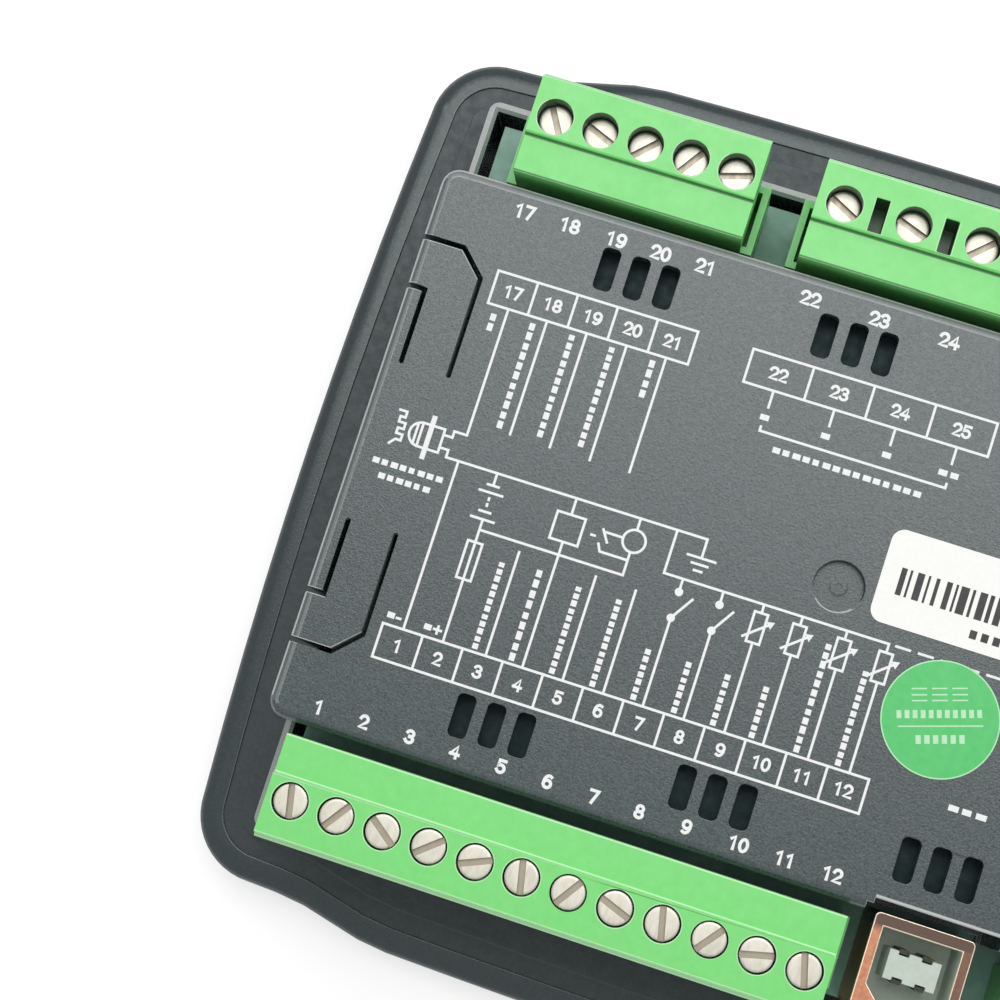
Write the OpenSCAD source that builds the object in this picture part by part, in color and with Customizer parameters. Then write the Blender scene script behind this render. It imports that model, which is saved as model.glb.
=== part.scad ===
// Panel-mounted controller for a generating set, terminal side up.
// The origin is the centre of the front rim, +Z points to the terminals,
// +X runs along the terminal numbers and +Y points to the upper terminal row.

/* [Front bezel] */
// Width of the bezel across its bowed sides
bezel_w = 125.5; // [115:0.5:140]
// Height of the bezel across its bowed top and bottom
bezel_h = 107; // [98:0.5:125]
// Thickness of the bezel from its front rim to the back of its flange
bezel_t = 8; // [7.5:0.5:12]
// Radius of the corners of the bezel
bezel_r = 8; // [7:0.5:10]
// Bow of each side of the bezel
side_bow = 1.35; // [0.5:0.05:2]
// Bow of the top and the bottom edge of the bezel
top_bow = 1.2; // [0.5:0.05:2]
// Step of the top and bottom edges down to the corners
shoulder_drop = 2.05; // [1:0.05:3]
// Length of the curve that makes the step
shoulder_len = 13.5; // [8:0.5:18]
// Length of the edge between the step and the corner
shoulder_run = 4; // [3:0.5:9]
// Radius rolled over the outer edges of the bezel
edge_roll = 2.0; // [1:0.1:2.2]
// Width of the rounded edge on the back of the bezel
back_run = 2.4; // [2:0.1:2.6]
// Width of the raised rim round the front face
rim_w = 4; // [3:0.25:6]
// Depth of the front face behind the rim
face_recess = 1.2; // [0.8:0.1:1.6]
// Thickness of the front wall
face_wall = 2; // [1.6:0.1:3]

/* [Panel gasket] */
// Thickness of the gasket
gasket_t = 1.4; // [1:0.1:2.5]
// Depth of the groove that the gasket lies in
gasket_seat = 0.8; // [0.4:0.1:0.9]
// Width of the bezel edge left outside the gasket
gasket_lip = 3.0; // [2.8:0.1:3.4]
// Width of the low outer step of the gasket
gasket_step = 2.2; // [1.8:0.1:2.6]
// Height of the low outer step of the gasket
step_t = 0.5; // [0.4:0.1:0.7]
// Clearance of the gasket to its groove and to the box
gasket_play = 0.1; // [0.1:0.05:0.3]

/* [Rear box] */
// Width of the bezel flange at each side of the rear box
flange_w = 9.25; // [8:0.25:11]
// Width of the bezel flange above and below the rear box
flange_h = 10; // [9:0.25:12]
// Depth from the front rim to the label plate
case_d = 33; // [30:0.5:40]
// Thickness of the walls of the rear box
wall = 1.8; // [1.4:0.1:2]
// Radius of the corners of the rear box
box_r = 1.25; // [1:0.25:1.5]
// Radius of the corners of the label plate
plate_r = 2; // [1.5:0.25:3]
// Radius rolled over the edge of the label plate
plate_roll = 1; // [0.4:0.1:1.2]
// Depth of the rim of the terminal bays below the label plate
bay_drop = 17; // [15:0.5:17.5]
// Chamfer on the inner edge of the bay rims
bay_chamfer = 0.4; // [0.2:0.1:0.5]
// Thickness of the outer walls of the terminal bays
bay_wall = 1; // [0.9:0.05:1.2]
// Gap between the label plate and the terminal plugs
plate_gap = 1.3; // [1.2:0.05:1.8]
// Clearance between the rear box and the bezel
box_play = 0.15; // [0.1:0.05:0.3]

/* [Snap latches] */
// Distance from the middle to the root of a latch tongue
latch_root = 9; // [7:0.5:10]
// Distance from the middle to the near slit of a latch leg
latch_near = 17.2; // [15:0.2:18]
// Width of a latch leg with its slits
latch_leg = 5.55; // [4.5:0.05:6]
// Distance from the side of the box to the far slit of the tongue
latch_in = 7.4; // [6:0.1:8.5]
// Cut corner of the far slit
latch_cut = 2.7; // [1.5:0.1:3.5]
// Width of the slits
slit_w = 0.55; // [0.4:0.05:0.8]
// Reach of the hook at the foot of a latch leg
hook_out = 0.8; // [0.5:0.1:1]
// Height of the hook
hook_h = 1.4; // [1:0.1:1.8]
// Clearance round the hook in its pocket
hook_play = 0.3; // [0.2:0.05:0.4]

/* [Label plate] */
// Width of a vent slot
vent_w = 2; // [1.5:0.1:2.4]
// Length of a vent slot
vent_l = 4.7; // [3.5:0.1:6]
// Spacing of the vent slots in a group
vent_pitch = 3.3; // [3:0.1:4]
// Number of slots in a group
vent_count = 3; // [2:1:4]
// Spacing of the groups of vent slots
vent_group = 24.2; // [20:0.2:25]
// Number of groups in a row
vent_groups = 3; // [2:1:3]
// Distance of the first group from the side of the box
vent_in = 23.35; // [20:0.05:26]
// Distance of the vent slots from the edge of the label plate
vent_edge = 6; // [5:0.1:8]
// Diameter of the round moulding mark
gate_d = 5.4; // [4:0.1:7]
// Depth of the round moulding mark
gate_depth = 0.5; // [0.3:0.05:0.8]
// Width of the white label
label_w = 40; // [30:1:45]
// Height of the white label
label_h = 10.1; // [8:0.1:12]
// Distance of the white label from the moulding mark
label_gap = 1.05; // [0.5:0.05:2]
// Distance of the middle of the white label above the middle of the plate
label_y = 2.75; // [1:0.25:5]
// Distance of the round sticker from the middle of the plate, along the width
sticker_x = 14; // [10:0.5:18]
// Distance of the round sticker below the middle of the plate
sticker_y = 10.1; // [9:0.1:12]
// Diameter of the round sticker
sticker_d = 12.4; // [9:0.1:14]
// Thickness of the labels
label_t = 0.15; // [0.1:0.05:0.3]

/* [Terminal blocks] */
// Spacing of the mains-voltage poles, as a multiple of the low-voltage spacing
wide_ratio = 1.5; // [1.3:0.1:1.5]
// Distance of the screw rows from the edge of the box
row_in = 4.55; // [4.5:0.05:5.5]
// Distance of the outer poles of the lower row from the side of the box
lower_in = 5.8; // [5.6:0.05:6.2]
// Distance of the outer pole of the low-voltage upper block from the side of the box
upper_in = 9.8; // [6:0.1:10]
// Distance of the outer pole of the mains-voltage upper block from the side of the box
upper_wide_in = 7.25; // [6:0.05:7.6]
// Height of the plugs above the label plate
plug_rise = 1.5; // [0.5:0.1:3]
// Height of the upper body of a plug
plug_body = 7.6; // [7:0.1:9]
// Overhang of a plug past its outer poles
plug_end = 2.65; // [2.5:0.05:2.8]
// Reach of a plug outside the screw line
plug_out = 4.15; // [4.1:0.05:4.3]
// Reach of the ledge along the outer face of a plug
plug_lip = 0.45; // [0.3:0.05:0.5]
// Distance from the screw line to the step in the top of a plug
plug_step = 2.4; // [2.2:0.05:2.6]
// Reach of a plug inside the screw line
plug_in = 6.65; // [6.4:0.05:6.7]
// Drop of the inner strip of a plug
strip_drop = 0.8; // [0.5:0.1:1.2]
// Diameter of the screw holes in the plugs
screw_hole = 3.9; // [3.8:0.05:4.1]
// Diameter of the clamp screw heads
screw_head = 3.65; // [3.4:0.05:3.7]
// Depth of the screw heads below the top of the upper plugs
screw_sink = 2; // [1.6:0.1:2.4]
// Depth of the screw heads below the top of the lower plugs
lower_sink = 0.3; // [0.2:0.1:1]
// Width of the slot in the screw heads
screw_slot = 0.7; // [0.5:0.05:0.9]
// Diameter of the shank of the clamp screws
screw_shank = 2.4; // [2:0.1:2.6]
// Size of the square contact pins
pin_w = 1; // [0.8:0.05:1.2]
// Distance from the top of a header down to the tips of its pins
pin_below = 3; // [2.5:0.1:4]
// Length of a contact pin below the board
pin_tail = 2.2; // [1.5:0.1:2.5]
// Thickness of the floor of a header
header_floor = 3; // [2.5:0.1:3.5]
// Thickness of the walls of a header
header_wall = 0.8; // [0.7:0.05:0.9]
// Overhang of a header past its outer poles
header_end = 3.5; // [3.5:0.05:3.55]
// Extra overhang of the headers of the upper row
upper_more = 0.4; // [0.2:0.05:0.5]
// Extra overhang of the mains-voltage plugs and headers
wide_more = 0.35; // [0.2:0.05:0.5]
// Gap between a header and the upper body of its plug
plug_gap = 0.4; // [0.3:0.05:0.6]
// Clearance of a plug in its header
plug_play = 0.3; // [0.25:0.05:0.35]
// Clearance of the small metal pieces in their seats
metal_play = 0.1; // [0.05:0.05:0.15]

/* [Data socket] */
// Width of the data socket
usb_w = 10.8; // [10:0.1:12]
// Depth of the data socket across the bay
usb_d = 10.6; // [10:0.1:10.8]
// Depth of the data socket below the label plate
usb_drop = 2.9; // [2:0.1:4]
// Gap between the data socket and the block beside it
usb_gap = 2.1; // [1:0.1:2.5]
// Gap between the data socket and the block on its other side
usb_side = 4.38; // [3:0.02:5]
// Width of the mouth of the data socket
mouth_w = 8.45; // [8.45:0.05:8.6]
// Height of the mouth of the data socket
mouth_h = 7.8; // [7.8:0.05:8]
// Depth of the notch in the label plate beside the data socket
usb_notch = 0.8; // [0.7:0.05:1]
// Thickness of the metal of the socket shell
shell_t = 0.35; // [0.25:0.05:0.5]

/* [Boards and display] */
// Thickness of the circuit boards
board_t = 1.6; // [1.2:0.1:2]
// Clearance round the main board
board_play = 0.4; // [0.3:0.05:0.6]
// Clearance between the boards and the pieces that pass close to them
foot_play = 0.4; // [0.3:0.05:0.6]
// Depth of the display module between the front wall and its board
display_t = 4.2; // [3.6:0.1:4.4]
// Gap between the display board and the main board
board_gap = 3.9; // [3.5:0.1:5]
// Distance of the display window from the sides of the rear box
window_side = 18.5; // [17:0.5:25]
// Distance of the display window from the top of the rear box
window_in = 8.5; // [8:0.5:12]
// Height of the front below the window, for the lamps and the keys
keys_room = 40.5; // [38:0.5:45]
// Width of the ledge that holds the window
window_ledge = 2; // [1.5:0.1:3]
// Thickness of the window
window_t = 1; // [0.8:0.1:1.2]
// Clearance round the window
window_play = 0.15; // [0.1:0.05:0.3]
// Thickness of the display glass
glass_t = 1.1; // [0.7:0.1:1.5]
// Diameter of the posts that carry the boards
post_d = 6; // [5:0.1:6.2]
// Distance of the main board posts from the inner side of the box
post_in = 4.2; // [3.7:0.1:4.6]
// Distance of the main board posts from the headers
post_gap = 6.8; // [6:0.1:8]
// Diameter of the board screws
board_screw = 2.5; // [2:0.1:3]
// Length of the board screws in their posts
screw_into = 5; // [4:0.25:6]

/* [Keys] */
// Gap between two keys
key_gap = 4; // [3:0.25:6]
// Height of a key
key_h = 9; // [7:0.25:10]
// Distance of the outer keys from the sides of the rear box
key_side = 16; // [15:0.5:20]
// Distance of the keys from the bottom of the rear box
key_in = 14.5; // [13:0.5:16]
// Radius of the corners of a key
key_r = 2; // [1.5:0.1:3]
// Gap between the front of a key and the plane of the rim
key_back = 0.5; // [0.3:0.05:0.7]
// Clearance round a key in the front wall
key_play = 0.3; // [0.2:0.05:0.4]
// Width of the collar that keeps a key in the front wall
key_collar = 0.9; // [0.7:0.05:1]
// Travel of a key
key_travel = 0.8; // [0.5:0.05:0.8]
// Width of the switches behind the keys
switch_w = 6; // [5:0.5:6.5]
// Diameter of the status lamps
lamp_d = 3; // [2.5:0.1:3.5]
// Distance of the status lamps above the keys
lamp_up = 15; // [13:0.5:17]

/* [Parts on the main board] */
// Clearance between the parts and the posts
parts_gap = 0.5; // [0.3:0.1:1]
// Gap between two output relays
relay_gap = 1; // [0.6:0.1:2]
// Gap between the relays and the label plate
relay_top = 1.6; // [1:0.1:3]
// Width of the link between the two boards
link_w = 30; // [20:1:40]
// Depth of the link between the two boards
link_d = 5; // [4:0.5:7]

/* [Hidden] */
$fn = 48;
eps = 0.01;

// Plan of the case, and the terminal spacing that fills its lower row
box_w = bezel_w - 2 * flange_w;
box_h = bezel_h - 2 * flange_h;
in_w = box_w - 2 * wall;
in_h = box_h - 2 * wall;
pitch = (box_w - 2 * lower_in - 2 * header_end - usb_gap - usb_w - usb_side) / 14;
wide_pitch = pitch * wide_ratio;

// Heights above the plane of the front rim
face_z = face_recess + face_wall;
seat_z = bezel_t - gasket_seat;
rim_z = case_d - bay_drop;
plug_top = case_d + plug_rise;
strip_z = plug_top - strip_drop;
ledge_z = plug_top - 0.9;
body_z = plug_top - plug_body;
header_top = body_z - plug_gap;
display_z = face_z + display_t;
display_back = display_z + board_t;
board_z = display_back + board_gap;
board_top = board_z + board_t;
header_h = header_top - board_top;
cavity_z = board_top + header_floor;
plug_foot = cavity_z + plug_gap;
pin_top = header_top - pin_below;
head_z = plug_top - screw_sink;
lower_head_z = plug_top - lower_sink;
usb_h = case_d - usb_drop - board_top;
wall_foot = board_top + foot_play;
hook_z = face_z + 1.2;

// Places in plan
row_y = box_h / 2 - row_in;
plate_h = 2 * (row_y - plug_in - plate_gap);
lower_a_x = -box_w / 2 + lower_in + 11 * pitch / 2;
lower_b_x = box_w / 2 - lower_in - 3 * pitch / 2;
upper_a_x = -box_w / 2 + upper_in + 4 * pitch / 2;
upper_c_x = box_w / 2 - upper_wide_in - 3 * wide_pitch / 2;
usb_x = lower_a_x + 11 * pitch / 2 + header_end + usb_gap + usb_w / 2;
usb_in = plate_h / 2 - usb_notch + foot_play + 0.2;
usb_y = -usb_in - usb_d / 2;

// Cross-section of plugs and headers, measured outwards from the screw line
header_out = 1.3;
header_in = plug_in - 0.1;
pin_off = (header_out - header_in) / 2;
plug_y0 = -header_in + header_wall + plug_play;
plug_y1 = header_out - header_wall - plug_play;
post_x = in_w / 2 - post_in;
post_y = row_y - header_in - post_gap;
clamp_w = 3.2;
clamp_h = 3.1;
clamp_t = 0.5;
clamp_z = body_z + 0.5;
entry_top = clamp_z + clamp_h + metal_play;

// Front: window, keys and lamps
window_w = box_w - 2 * window_side;
window_h = box_h - window_in - keys_room;
window_y = box_h / 2 - window_in - window_h / 2;
key_pitch = (box_w - 2 * key_side) / 5;
key_w = key_pitch - key_gap;
key_y = box_h / 2 - key_in;
lamp_y = key_y - lamp_up;

// Groups of vent slots
function vent_x(g) = -box_w / 2 + vent_in + g * vent_group;
vent_y = plate_h / 2 - vent_edge;

// Parts on the main board, the warm ones under the vent slots
parts_w = 2 * (post_x - post_d / 2 - parts_gap);
column = parts_w / 8;
parts_h = plate_h - 2 * wall;
parts_top = case_d - wall - board_top;

// Angles of the screw slots, by pole
turn_1_12 = [102, 55, 143, 40, 23, 102, 56, 160, 103, 52, 194, 105];
turn_13_16 = [30, 95, 150, 70];
turn_17_21 = [120, 158, 45, 56, 197];
turn_22_25 = [153, 160, 43, 110];
turn_26_29 = [20, 75, 135, 50];

bezel_col = "#45494b";
cover_col = "#4b5052";
gasket_col = "#2b2e30";
green_col = "#63c25c";
header_col = "#4fae50";
steel_col = "#d9d5c8";
pin_col = "#c9b27a";
board_col = "#2f6b4a";

function limit(t) = min(1, max(0, t));
function blend(t) = t * t * (3 - 2 * t);

// Outline of the bezel: bowed sides, bowed top and bottom that step down to the corners
arc_x = bezel_w / 2 - side_bow - bezel_r;
step_x = arc_x - shoulder_run - shoulder_len;
function top_at(x) = bezel_h / 2 - top_bow * pow(x / arc_x, 2)
    - shoulder_drop * blend(limit((x - step_x) / shoulder_len));
arc_y = top_at(arc_x) - bezel_r;
function side_at(y) = bezel_w / 2 - side_bow * pow(y / arc_y, 2);
function quarter(inset) = concat(
    [for (i = [0:15]) let (x = arc_x * i / 15) [x, top_at(x) - inset]],
    [for (a = [82.5:-7.5:7.5]) [arc_x + (bezel_r - inset) * cos(a), arc_y + (bezel_r - inset) * sin(a)]],
    [for (i = [5:-1:0]) let (y = arc_y * i / 5) [side_at(y) - inset, y]]);
function bezel_ring(inset) = let (q = quarter(inset), n = len(q)) concat(
    q,
    [for (i = [n - 2:-1:0]) [q[i][0], -q[i][1]]],
    [for (i = [1:n - 1]) [-q[i][0], -q[i][1]]],
    [for (i = [n - 2:-1:1]) [-q[i][0], q[i][1]]]);

// Rounded rectangle as a ring of points
function box_ring(w, h, r) = [for (c = [0:3]) for (j = [0:5]) let (a = 90 - 90 * c - 18 * j)
    [[1, 1, -1, -1][c] * (w / 2 - r) + r * cos(a), [1, -1, -1, 1][c] * (h / 2 - r) + r * sin(a)]];

// Solid skinned over rings of equal length at given heights
module loft(heights, rings) {
    n = len(rings[0]);
    m = len(rings);
    polyhedron(
        points = [for (k = [0:m - 1]) for (p = rings[k]) [p[0], p[1], heights[k]]],
        faces = concat(
            [[for (i = [n - 1:-1:0]) i]],
            [for (k = [0:m - 2]) for (i = [0:n - 1]) [k * n + i, k * n + (i + 1) % n, (k + 1) * n + (i + 1) % n]],
            [for (k = [0:m - 2]) for (i = [0:n - 1]) [k * n + i, (k + 1) * n + (i + 1) % n, (k + 1) * n + i]],
            [[for (i = [0:n - 1]) (m - 1) * n + i]]));
}

module rrect(w, h, r) {
    square([w - 2 * r, h], center = true);
    square([w, h - 2 * r], center = true);
    for (x = [-1, 1], y = [-1, 1]) {
        translate([x * (w / 2 - r), y * (h / 2 - r)]) circle(r);
    }
}

module slab(w, h, r, z0, z1) {
    translate([0, 0, z0]) linear_extrude(z1 - z0) rrect(w, h, r);
}

module block(w, h, z0, z1) {
    translate([-w / 2, -h / 2, z0]) cube([w, h, z1 - z0]);
}

module four(x, y) {
    for (i = [-1, 1], j = [-1, 1]) translate([i * x, j * y, 0]) children();
}

module mirror4() {
    for (i = [0, 1], j = [0, 1]) mirror([i, 0, 0]) mirror([0, j, 0]) children();
}

// Places one terminal block: centre along the row and side of the case
module at_row(x, side) {
    translate([x, 0, 0]) rotate([0, 0, side > 0 ? 0 : 180]) translate([0, row_y, 0]) children();
}

module poles(n, p) {
    for (i = [0:n - 1]) translate([(i - (n - 1) / 2) * p, 0, 0]) children();
}

module front_bezel() {
    roll = [90, 67.5, 45, 22.5, 0];
    rise = [for (a = roll) edge_roll * (1 - sin(a))];
    inset = [for (a = roll) edge_roll * (1 - cos(a))];
    back = [4:-1:0];
    back_inset = [for (i = back) back_run * (1 - cos(roll[i]))];
    color(bezel_col) {
        difference() {
            loft(
                concat([face_recess, 0], rise, [for (i = back) bezel_t - rise[i]], [bezel_t, seat_z]),
                [for (d = concat([rim_w, rim_w], inset, back_inset, [gasket_lip, gasket_lip]))
                    bezel_ring(d)]);
            slab(box_w + 2 * box_play, box_h + 2 * box_play, box_r + box_play, face_z, bezel_t + 1);
            translate([0, window_y, 0]) {
                slab(window_w, window_h, 1.5, 0, face_z + 1);
                slab(window_w + 2 * window_ledge, window_h + 2 * window_ledge, 2, 0, face_recess + window_t);
            }
            at_keys() slab(key_w + 2 * key_play, key_h + 2 * key_play, key_r + key_play, 0, face_z + 1);
            at_lamps() cylinder(d = lamp_d + 2 * key_play, h = face_z + 1);
            mirror4() hook_pocket();
        }
        four(post_x, post_y) post(board_z);
        at_display_screws() post(display_z);
    }
}

// Pocket in the bezel that takes the hook of a latch leg
module hook_pocket() {
    translate([box_w / 2, latch_near - hook_play, hook_z - hook_play])
        cube([hook_out + box_play + hook_play, latch_leg + 2 * hook_play, hook_h + 2 * hook_play]);
}

// Post on the front wall with a pilot hole for a board screw
module post(top) {
    translate([0, 0, face_z]) difference() {
        cylinder(d = post_d, h = top - face_z);
        translate([0, 0, 0.6]) cylinder(d = board_screw + metal_play, h = top - face_z);
    }
}

module at_display_screws() {
    x = window_w / 2 + window_ledge + post_d / 2 + 0.6;
    for (i = [-1, 1], y = [window_y - 4, -lamp_y - 4]) translate([i * x, y, 0]) children();
}

module board_screw_at(seat, into) {
    difference() {
        union() {
            translate([0, 0, seat]) cylinder(d = 2 * board_screw, h = 1.6);
            translate([0, 0, seat - into]) cylinder(d = board_screw, h = into + eps);
        }
        translate([0, 0, seat + 0.8]) for (a = [0, 90]) rotate([0, 0, a]) block(3, 0.6, 0, 2);
    }
}

module panel_gasket() {
    color(gasket_col) difference() {
        translate([0, 0, seat_z]) {
            linear_extrude(step_t) polygon(bezel_ring(gasket_lip + gasket_play));
            linear_extrude(gasket_t) polygon(bezel_ring(gasket_lip + gasket_step));
        }
        slab(box_w + 2 * gasket_play, box_h + 2 * gasket_play, box_r + gasket_play, 0, bezel_t + gasket_t + 1);
    }
}

module back_cover() {
    tz = [90, 67.5, 45, 22.5, 0];
    color(cover_col) {
        difference() {
            union() {
                slab(box_w, box_h, box_r, face_z, rim_z);
                loft(
                    concat([rim_z - 2], [for (i = [0:4]) case_d - plate_roll * (1 - sin(tz[4 - i]))]),
                    concat([box_ring(box_w, plate_h, plate_r)], [for (i = [0:4])
                        let (c = plate_roll * (1 - cos(tz[4 - i])))
                        box_ring(box_w - 2 * c, plate_h - 2 * c, plate_r - c)]));
            }
            block(in_w, in_h, face_z - 1, wall_foot);
            block(in_w, plate_h - 2 * wall, face_z, case_d - wall);
            for (s = [0, 1]) mirror([0, s, 0]) bay_opening();
            translate([usb_x, -plate_h / 2, 0])
                block(usb_w + 2 * usb_gap - 1.2, 2 * usb_notch, wall_foot - 1, case_d + 1);
            for (s = [0, 1]) mirror([0, s, 0]) vents();
            mirror4() latch_slits();
            gate_mark();
        }
        mirror4() latch_hook();
    }
}

// Opening of one terminal bay, with a chamfered rim on its three outer sides
module bay_opening() {
    y0 = plate_h / 2;
    x1 = box_w / 2 - bay_wall;
    y1 = box_h / 2 - bay_wall;
    translate([-x1, y0, face_z]) cube([2 * x1, y1 - y0, case_d]);
    loft([rim_z - bay_chamfer, rim_z + 1], [for (c = [0, bay_chamfer + 1])
        [[-x1 - c, y0], [-x1 - c, y1 + c], [x1 + c, y1 + c], [x1 + c, y0]]]);
}

module vents() {
    for (g = [0:vent_groups - 1], i = [0:vent_count - 1])
        translate([vent_x(g) + (i - (vent_count - 1) / 2) * vent_pitch, vent_y, 0])
            slab(vent_w, vent_l, 0.6, case_d - wall - 1, case_d + 1);
}

module gate_mark() {
    translate([0, 0, case_d - gate_depth]) difference() {
        cylinder(d = gate_d, h = 1);
        translate([0, 0, -eps]) difference() {
            cylinder(d = gate_d / 3, h = gate_depth * 0.7);
            translate([0, 0, gate_depth * 0.3]) cylinder(d = gate_d / 7, h = 1);
        }
    }
}

// Slits that free one spring tongue in the plate and its leg in the side wall
module latch_slits() {
    side = box_w / 2;
    far = latch_near + latch_leg;
    inner = side - latch_in;
    translate([0, 0, case_d - wall - 1]) linear_extrude(wall + 2) {
        slit([side + 1, far], [inner + latch_cut, far]);
        slit([inner + latch_cut, far], [inner, far - latch_cut]);
        slit([inner, far - latch_cut], [inner, latch_root]);
        slit([side + 1, latch_near], [side - wall - slit_w / 2, latch_near]);
        slit([side - wall - slit_w / 2, latch_near], [side - wall - slit_w / 2, latch_root]);
    }
    for (y = [latch_near, far])
        translate([side - wall - slit_w, y - slit_w / 2, face_z - 1]) cube([wall + slit_w + 1, slit_w, case_d]);
}

module slit(a, b) {
    d = b - a;
    translate(a) rotate(atan2(d[1], d[0])) translate([0, -slit_w / 2]) square([norm(d), slit_w]);
    translate(b) circle(d = slit_w);
}

// Hook on the foot of a latch leg
module latch_hook() {
    y0 = latch_near + slit_w / 2;
    translate([0, y0 + latch_leg - slit_w, 0]) rotate([90, 0, 0]) linear_extrude(latch_leg - slit_w)
        polygon([[box_w / 2 - wall / 2, hook_z], [box_w / 2, hook_z], [box_w / 2 + hook_out, hook_z + hook_h * 0.6],
            [box_w / 2 + hook_out, hook_z + hook_h], [box_w / 2 - wall / 2, hook_z + hook_h]]);
}

module display_window() {
    w = window_w + 2 * window_ledge - 2 * window_play;
    h = window_h + 2 * window_ledge - 2 * window_play;
    color("#9fb4b8") translate([0, window_y, 0]) slab(w, h, 2 - window_play, face_recess, face_recess + window_t);
}

module display_frame() {
    color("#b9bcbe") translate([0, window_y, 0]) difference() {
        slab(window_w + 2 * window_ledge, window_h + 2 * window_ledge, 1.5, face_z, display_z);
        block(window_w + 2 * window_play, window_h + 2 * window_play, face_z - 1, face_z + glass_t);
    }
}

module display_glass() {
    color("#5d6f63") translate([0, window_y, 0]) block(window_w, window_h, face_z, face_z + glass_t);
}

module display_board() {
    w = 2 * (post_x - post_d / 2 - board_play);
    color(board_col) difference() {
        slab(w, in_h - 8, 2, display_z, display_back);
        at_display_screws() cylinder(d = board_screw + 4 * metal_play, h = display_back + 1);
    }
}

module display_board_screws() {
    color(steel_col) at_display_screws() board_screw_at(display_back, display_back - face_z - 1);
}

module tact_switches() {
    reach = 0.4;
    front = face_z + 2 * metal_play + 0.8 + key_travel;
    color("#2c2f31") at_keys() {
        block(switch_w, switch_w, front + reach, display_z);
        translate([0, 0, front]) cylinder(d = 0.53 * switch_w, h = reach + eps);
    }
}

module status_lamps() {
    color("#d8e6d8") at_lamps() {
        translate([0, 0, face_recess + lamp_d / 2]) {
            sphere(d = lamp_d);
            cylinder(d = lamp_d, h = display_z - face_recess - lamp_d / 2);
        }
        translate([0, 0, display_z - 1]) cylinder(d = lamp_d + 0.7, h = 1);
    }
}

module at_keys() {
    for (i = [-2.5:1:2.5]) translate([i * key_pitch, -key_y, 0]) children();
}

module at_lamps() {
    for (i = [-2:2]) translate([i * key_pitch, -lamp_y, 0]) children();
}

// One key: a rounded cap with a collar behind the front wall
module key(i) {
    collar = face_z + metal_play;
    tz = [90, 60, 30, 0];
    edge = 0.6;
    translate([(i - 2.5) * key_pitch, -key_y, 0]) {
        loft(
            concat([for (a = tz) key_back + edge * (1 - sin(a))], [collar + eps]),
            concat([for (a = tz) let (c = edge * (1 - cos(a))) box_ring(key_w - 2 * c, key_h - 2 * c, key_r - c)],
                [box_ring(key_w, key_h, key_r)]));
        slab(key_w + 2 * key_collar, key_h + 2 * key_collar, key_r + key_collar, collar, collar + 0.8);
    }
}

module key_stop() {
    color("#b5372f") key(0);
}

module key_manual() {
    color("#8f9496") key(1);
}

module key_auto() {
    color("#8f9496") key(2);
}

module key_start() {
    color("#3f9a4a") key(3);
}

module key_up() {
    color("#8f9496") key(4);
}

module key_down() {
    color("#8f9496") key(5);
}

module main_board() {
    color(board_col) difference() {
        block(in_w - 2 * board_play, in_h - 2 * board_play, board_z, board_top);
        four(post_x, post_y) cylinder(d = board_screw + 4 * metal_play, h = board_top + 1);
        pin_holes(lower_a_x, -1, 12, pitch);
        pin_holes(lower_b_x, -1, 4, pitch);
        pin_holes(upper_a_x, 1, 5, pitch);
        pin_holes(0, 1, 4, wide_pitch);
        pin_holes(upper_c_x, 1, 4, wide_pitch);
    }
}

module pin_holes(x, side, n, p) {
    at_row(x, side) poles(n, p) translate([0, pin_off, board_z - 1])
        cylinder(d = pin_w * 1.42 + 2 * metal_play, h = board_t + 2);
}

module main_board_screws() {
    color(steel_col) four(post_x, post_y) board_screw_at(board_top, board_t + screw_into);
}

module board_link() {
    color("#26282a") block(link_w, link_d, display_back, board_z);
}

// Open-topped shroud of a header, with a hole for each pin in its floor
module header(n, p, more = 0) {
    w = (n - 1) * p + 2 * (header_end + more);
    color(header_col) difference() {
        translate([-w / 2, -header_in, board_top]) cube([w, header_in + header_out, header_h]);
        translate([-w / 2 + header_wall, -header_in + header_wall, cavity_z])
            cube([w - 2 * header_wall, header_in + header_out - 2 * header_wall, header_h]);
        poles(n, p) translate([0, pin_off, 0]) block(pin_w + metal_play, pin_w + metal_play, board_top - 1, cavity_z + 1);
    }
}

module pins(n, p) {
    color(pin_col) poles(n, p) translate([0, pin_off, 0]) block(pin_w, pin_w, board_z - pin_tail, pin_top);
}

// Plug: stepped body with a screw well, a wire entry and a contact well at each pole
module plug(n, p, more = 0) {
    w = (n - 1) * p + 2 * (plug_end + more);
    foot_w = (n - 1) * p + 2 * (header_end - header_wall - plug_play);
    color(green_col) difference() {
        union() {
            rotate([90, 0, 90]) translate([0, 0, -w / 2]) linear_extrude(w)
                polygon([[-plug_in, body_z], [-plug_in, strip_z], [-plug_step, strip_z], [-plug_step, plug_top],
                    [plug_out, plug_top], [plug_out, ledge_z], [plug_out + plug_lip, ledge_z - 0.2],
                    [plug_out + plug_lip, ledge_z - 0.9], [plug_out, ledge_z - 1.1], [plug_out, body_z]]);
            translate([-foot_w / 2, plug_y0, plug_foot]) cube([foot_w, plug_y1 - plug_y0, body_z - plug_foot + eps]);
        }
        poles(n, p) {
            translate([0, 0, entry_top - eps]) cylinder(d = screw_hole, h = plug_top - entry_top + 1);
            translate([-clamp_w / 2 - metal_play, -clamp_w / 2 - metal_play, clamp_z - metal_play])
                cube([clamp_w + 2 * metal_play, plug_out + clamp_w + 2, clamp_h + 2 * metal_play]);
            translate([0, pin_off, 0])
                block(pin_w + 4 * metal_play, pin_w + 4 * metal_play, plug_foot - 1, pin_top + 0.5);
        }
        if (p > pitch * 1.2) {
            for (i = [1:n - 1]) translate([(i - n / 2) * p, -0.2, 0]) block(1.5, 3.75, plug_top - 5, plug_top + 1);
        }
    }
}

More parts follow.
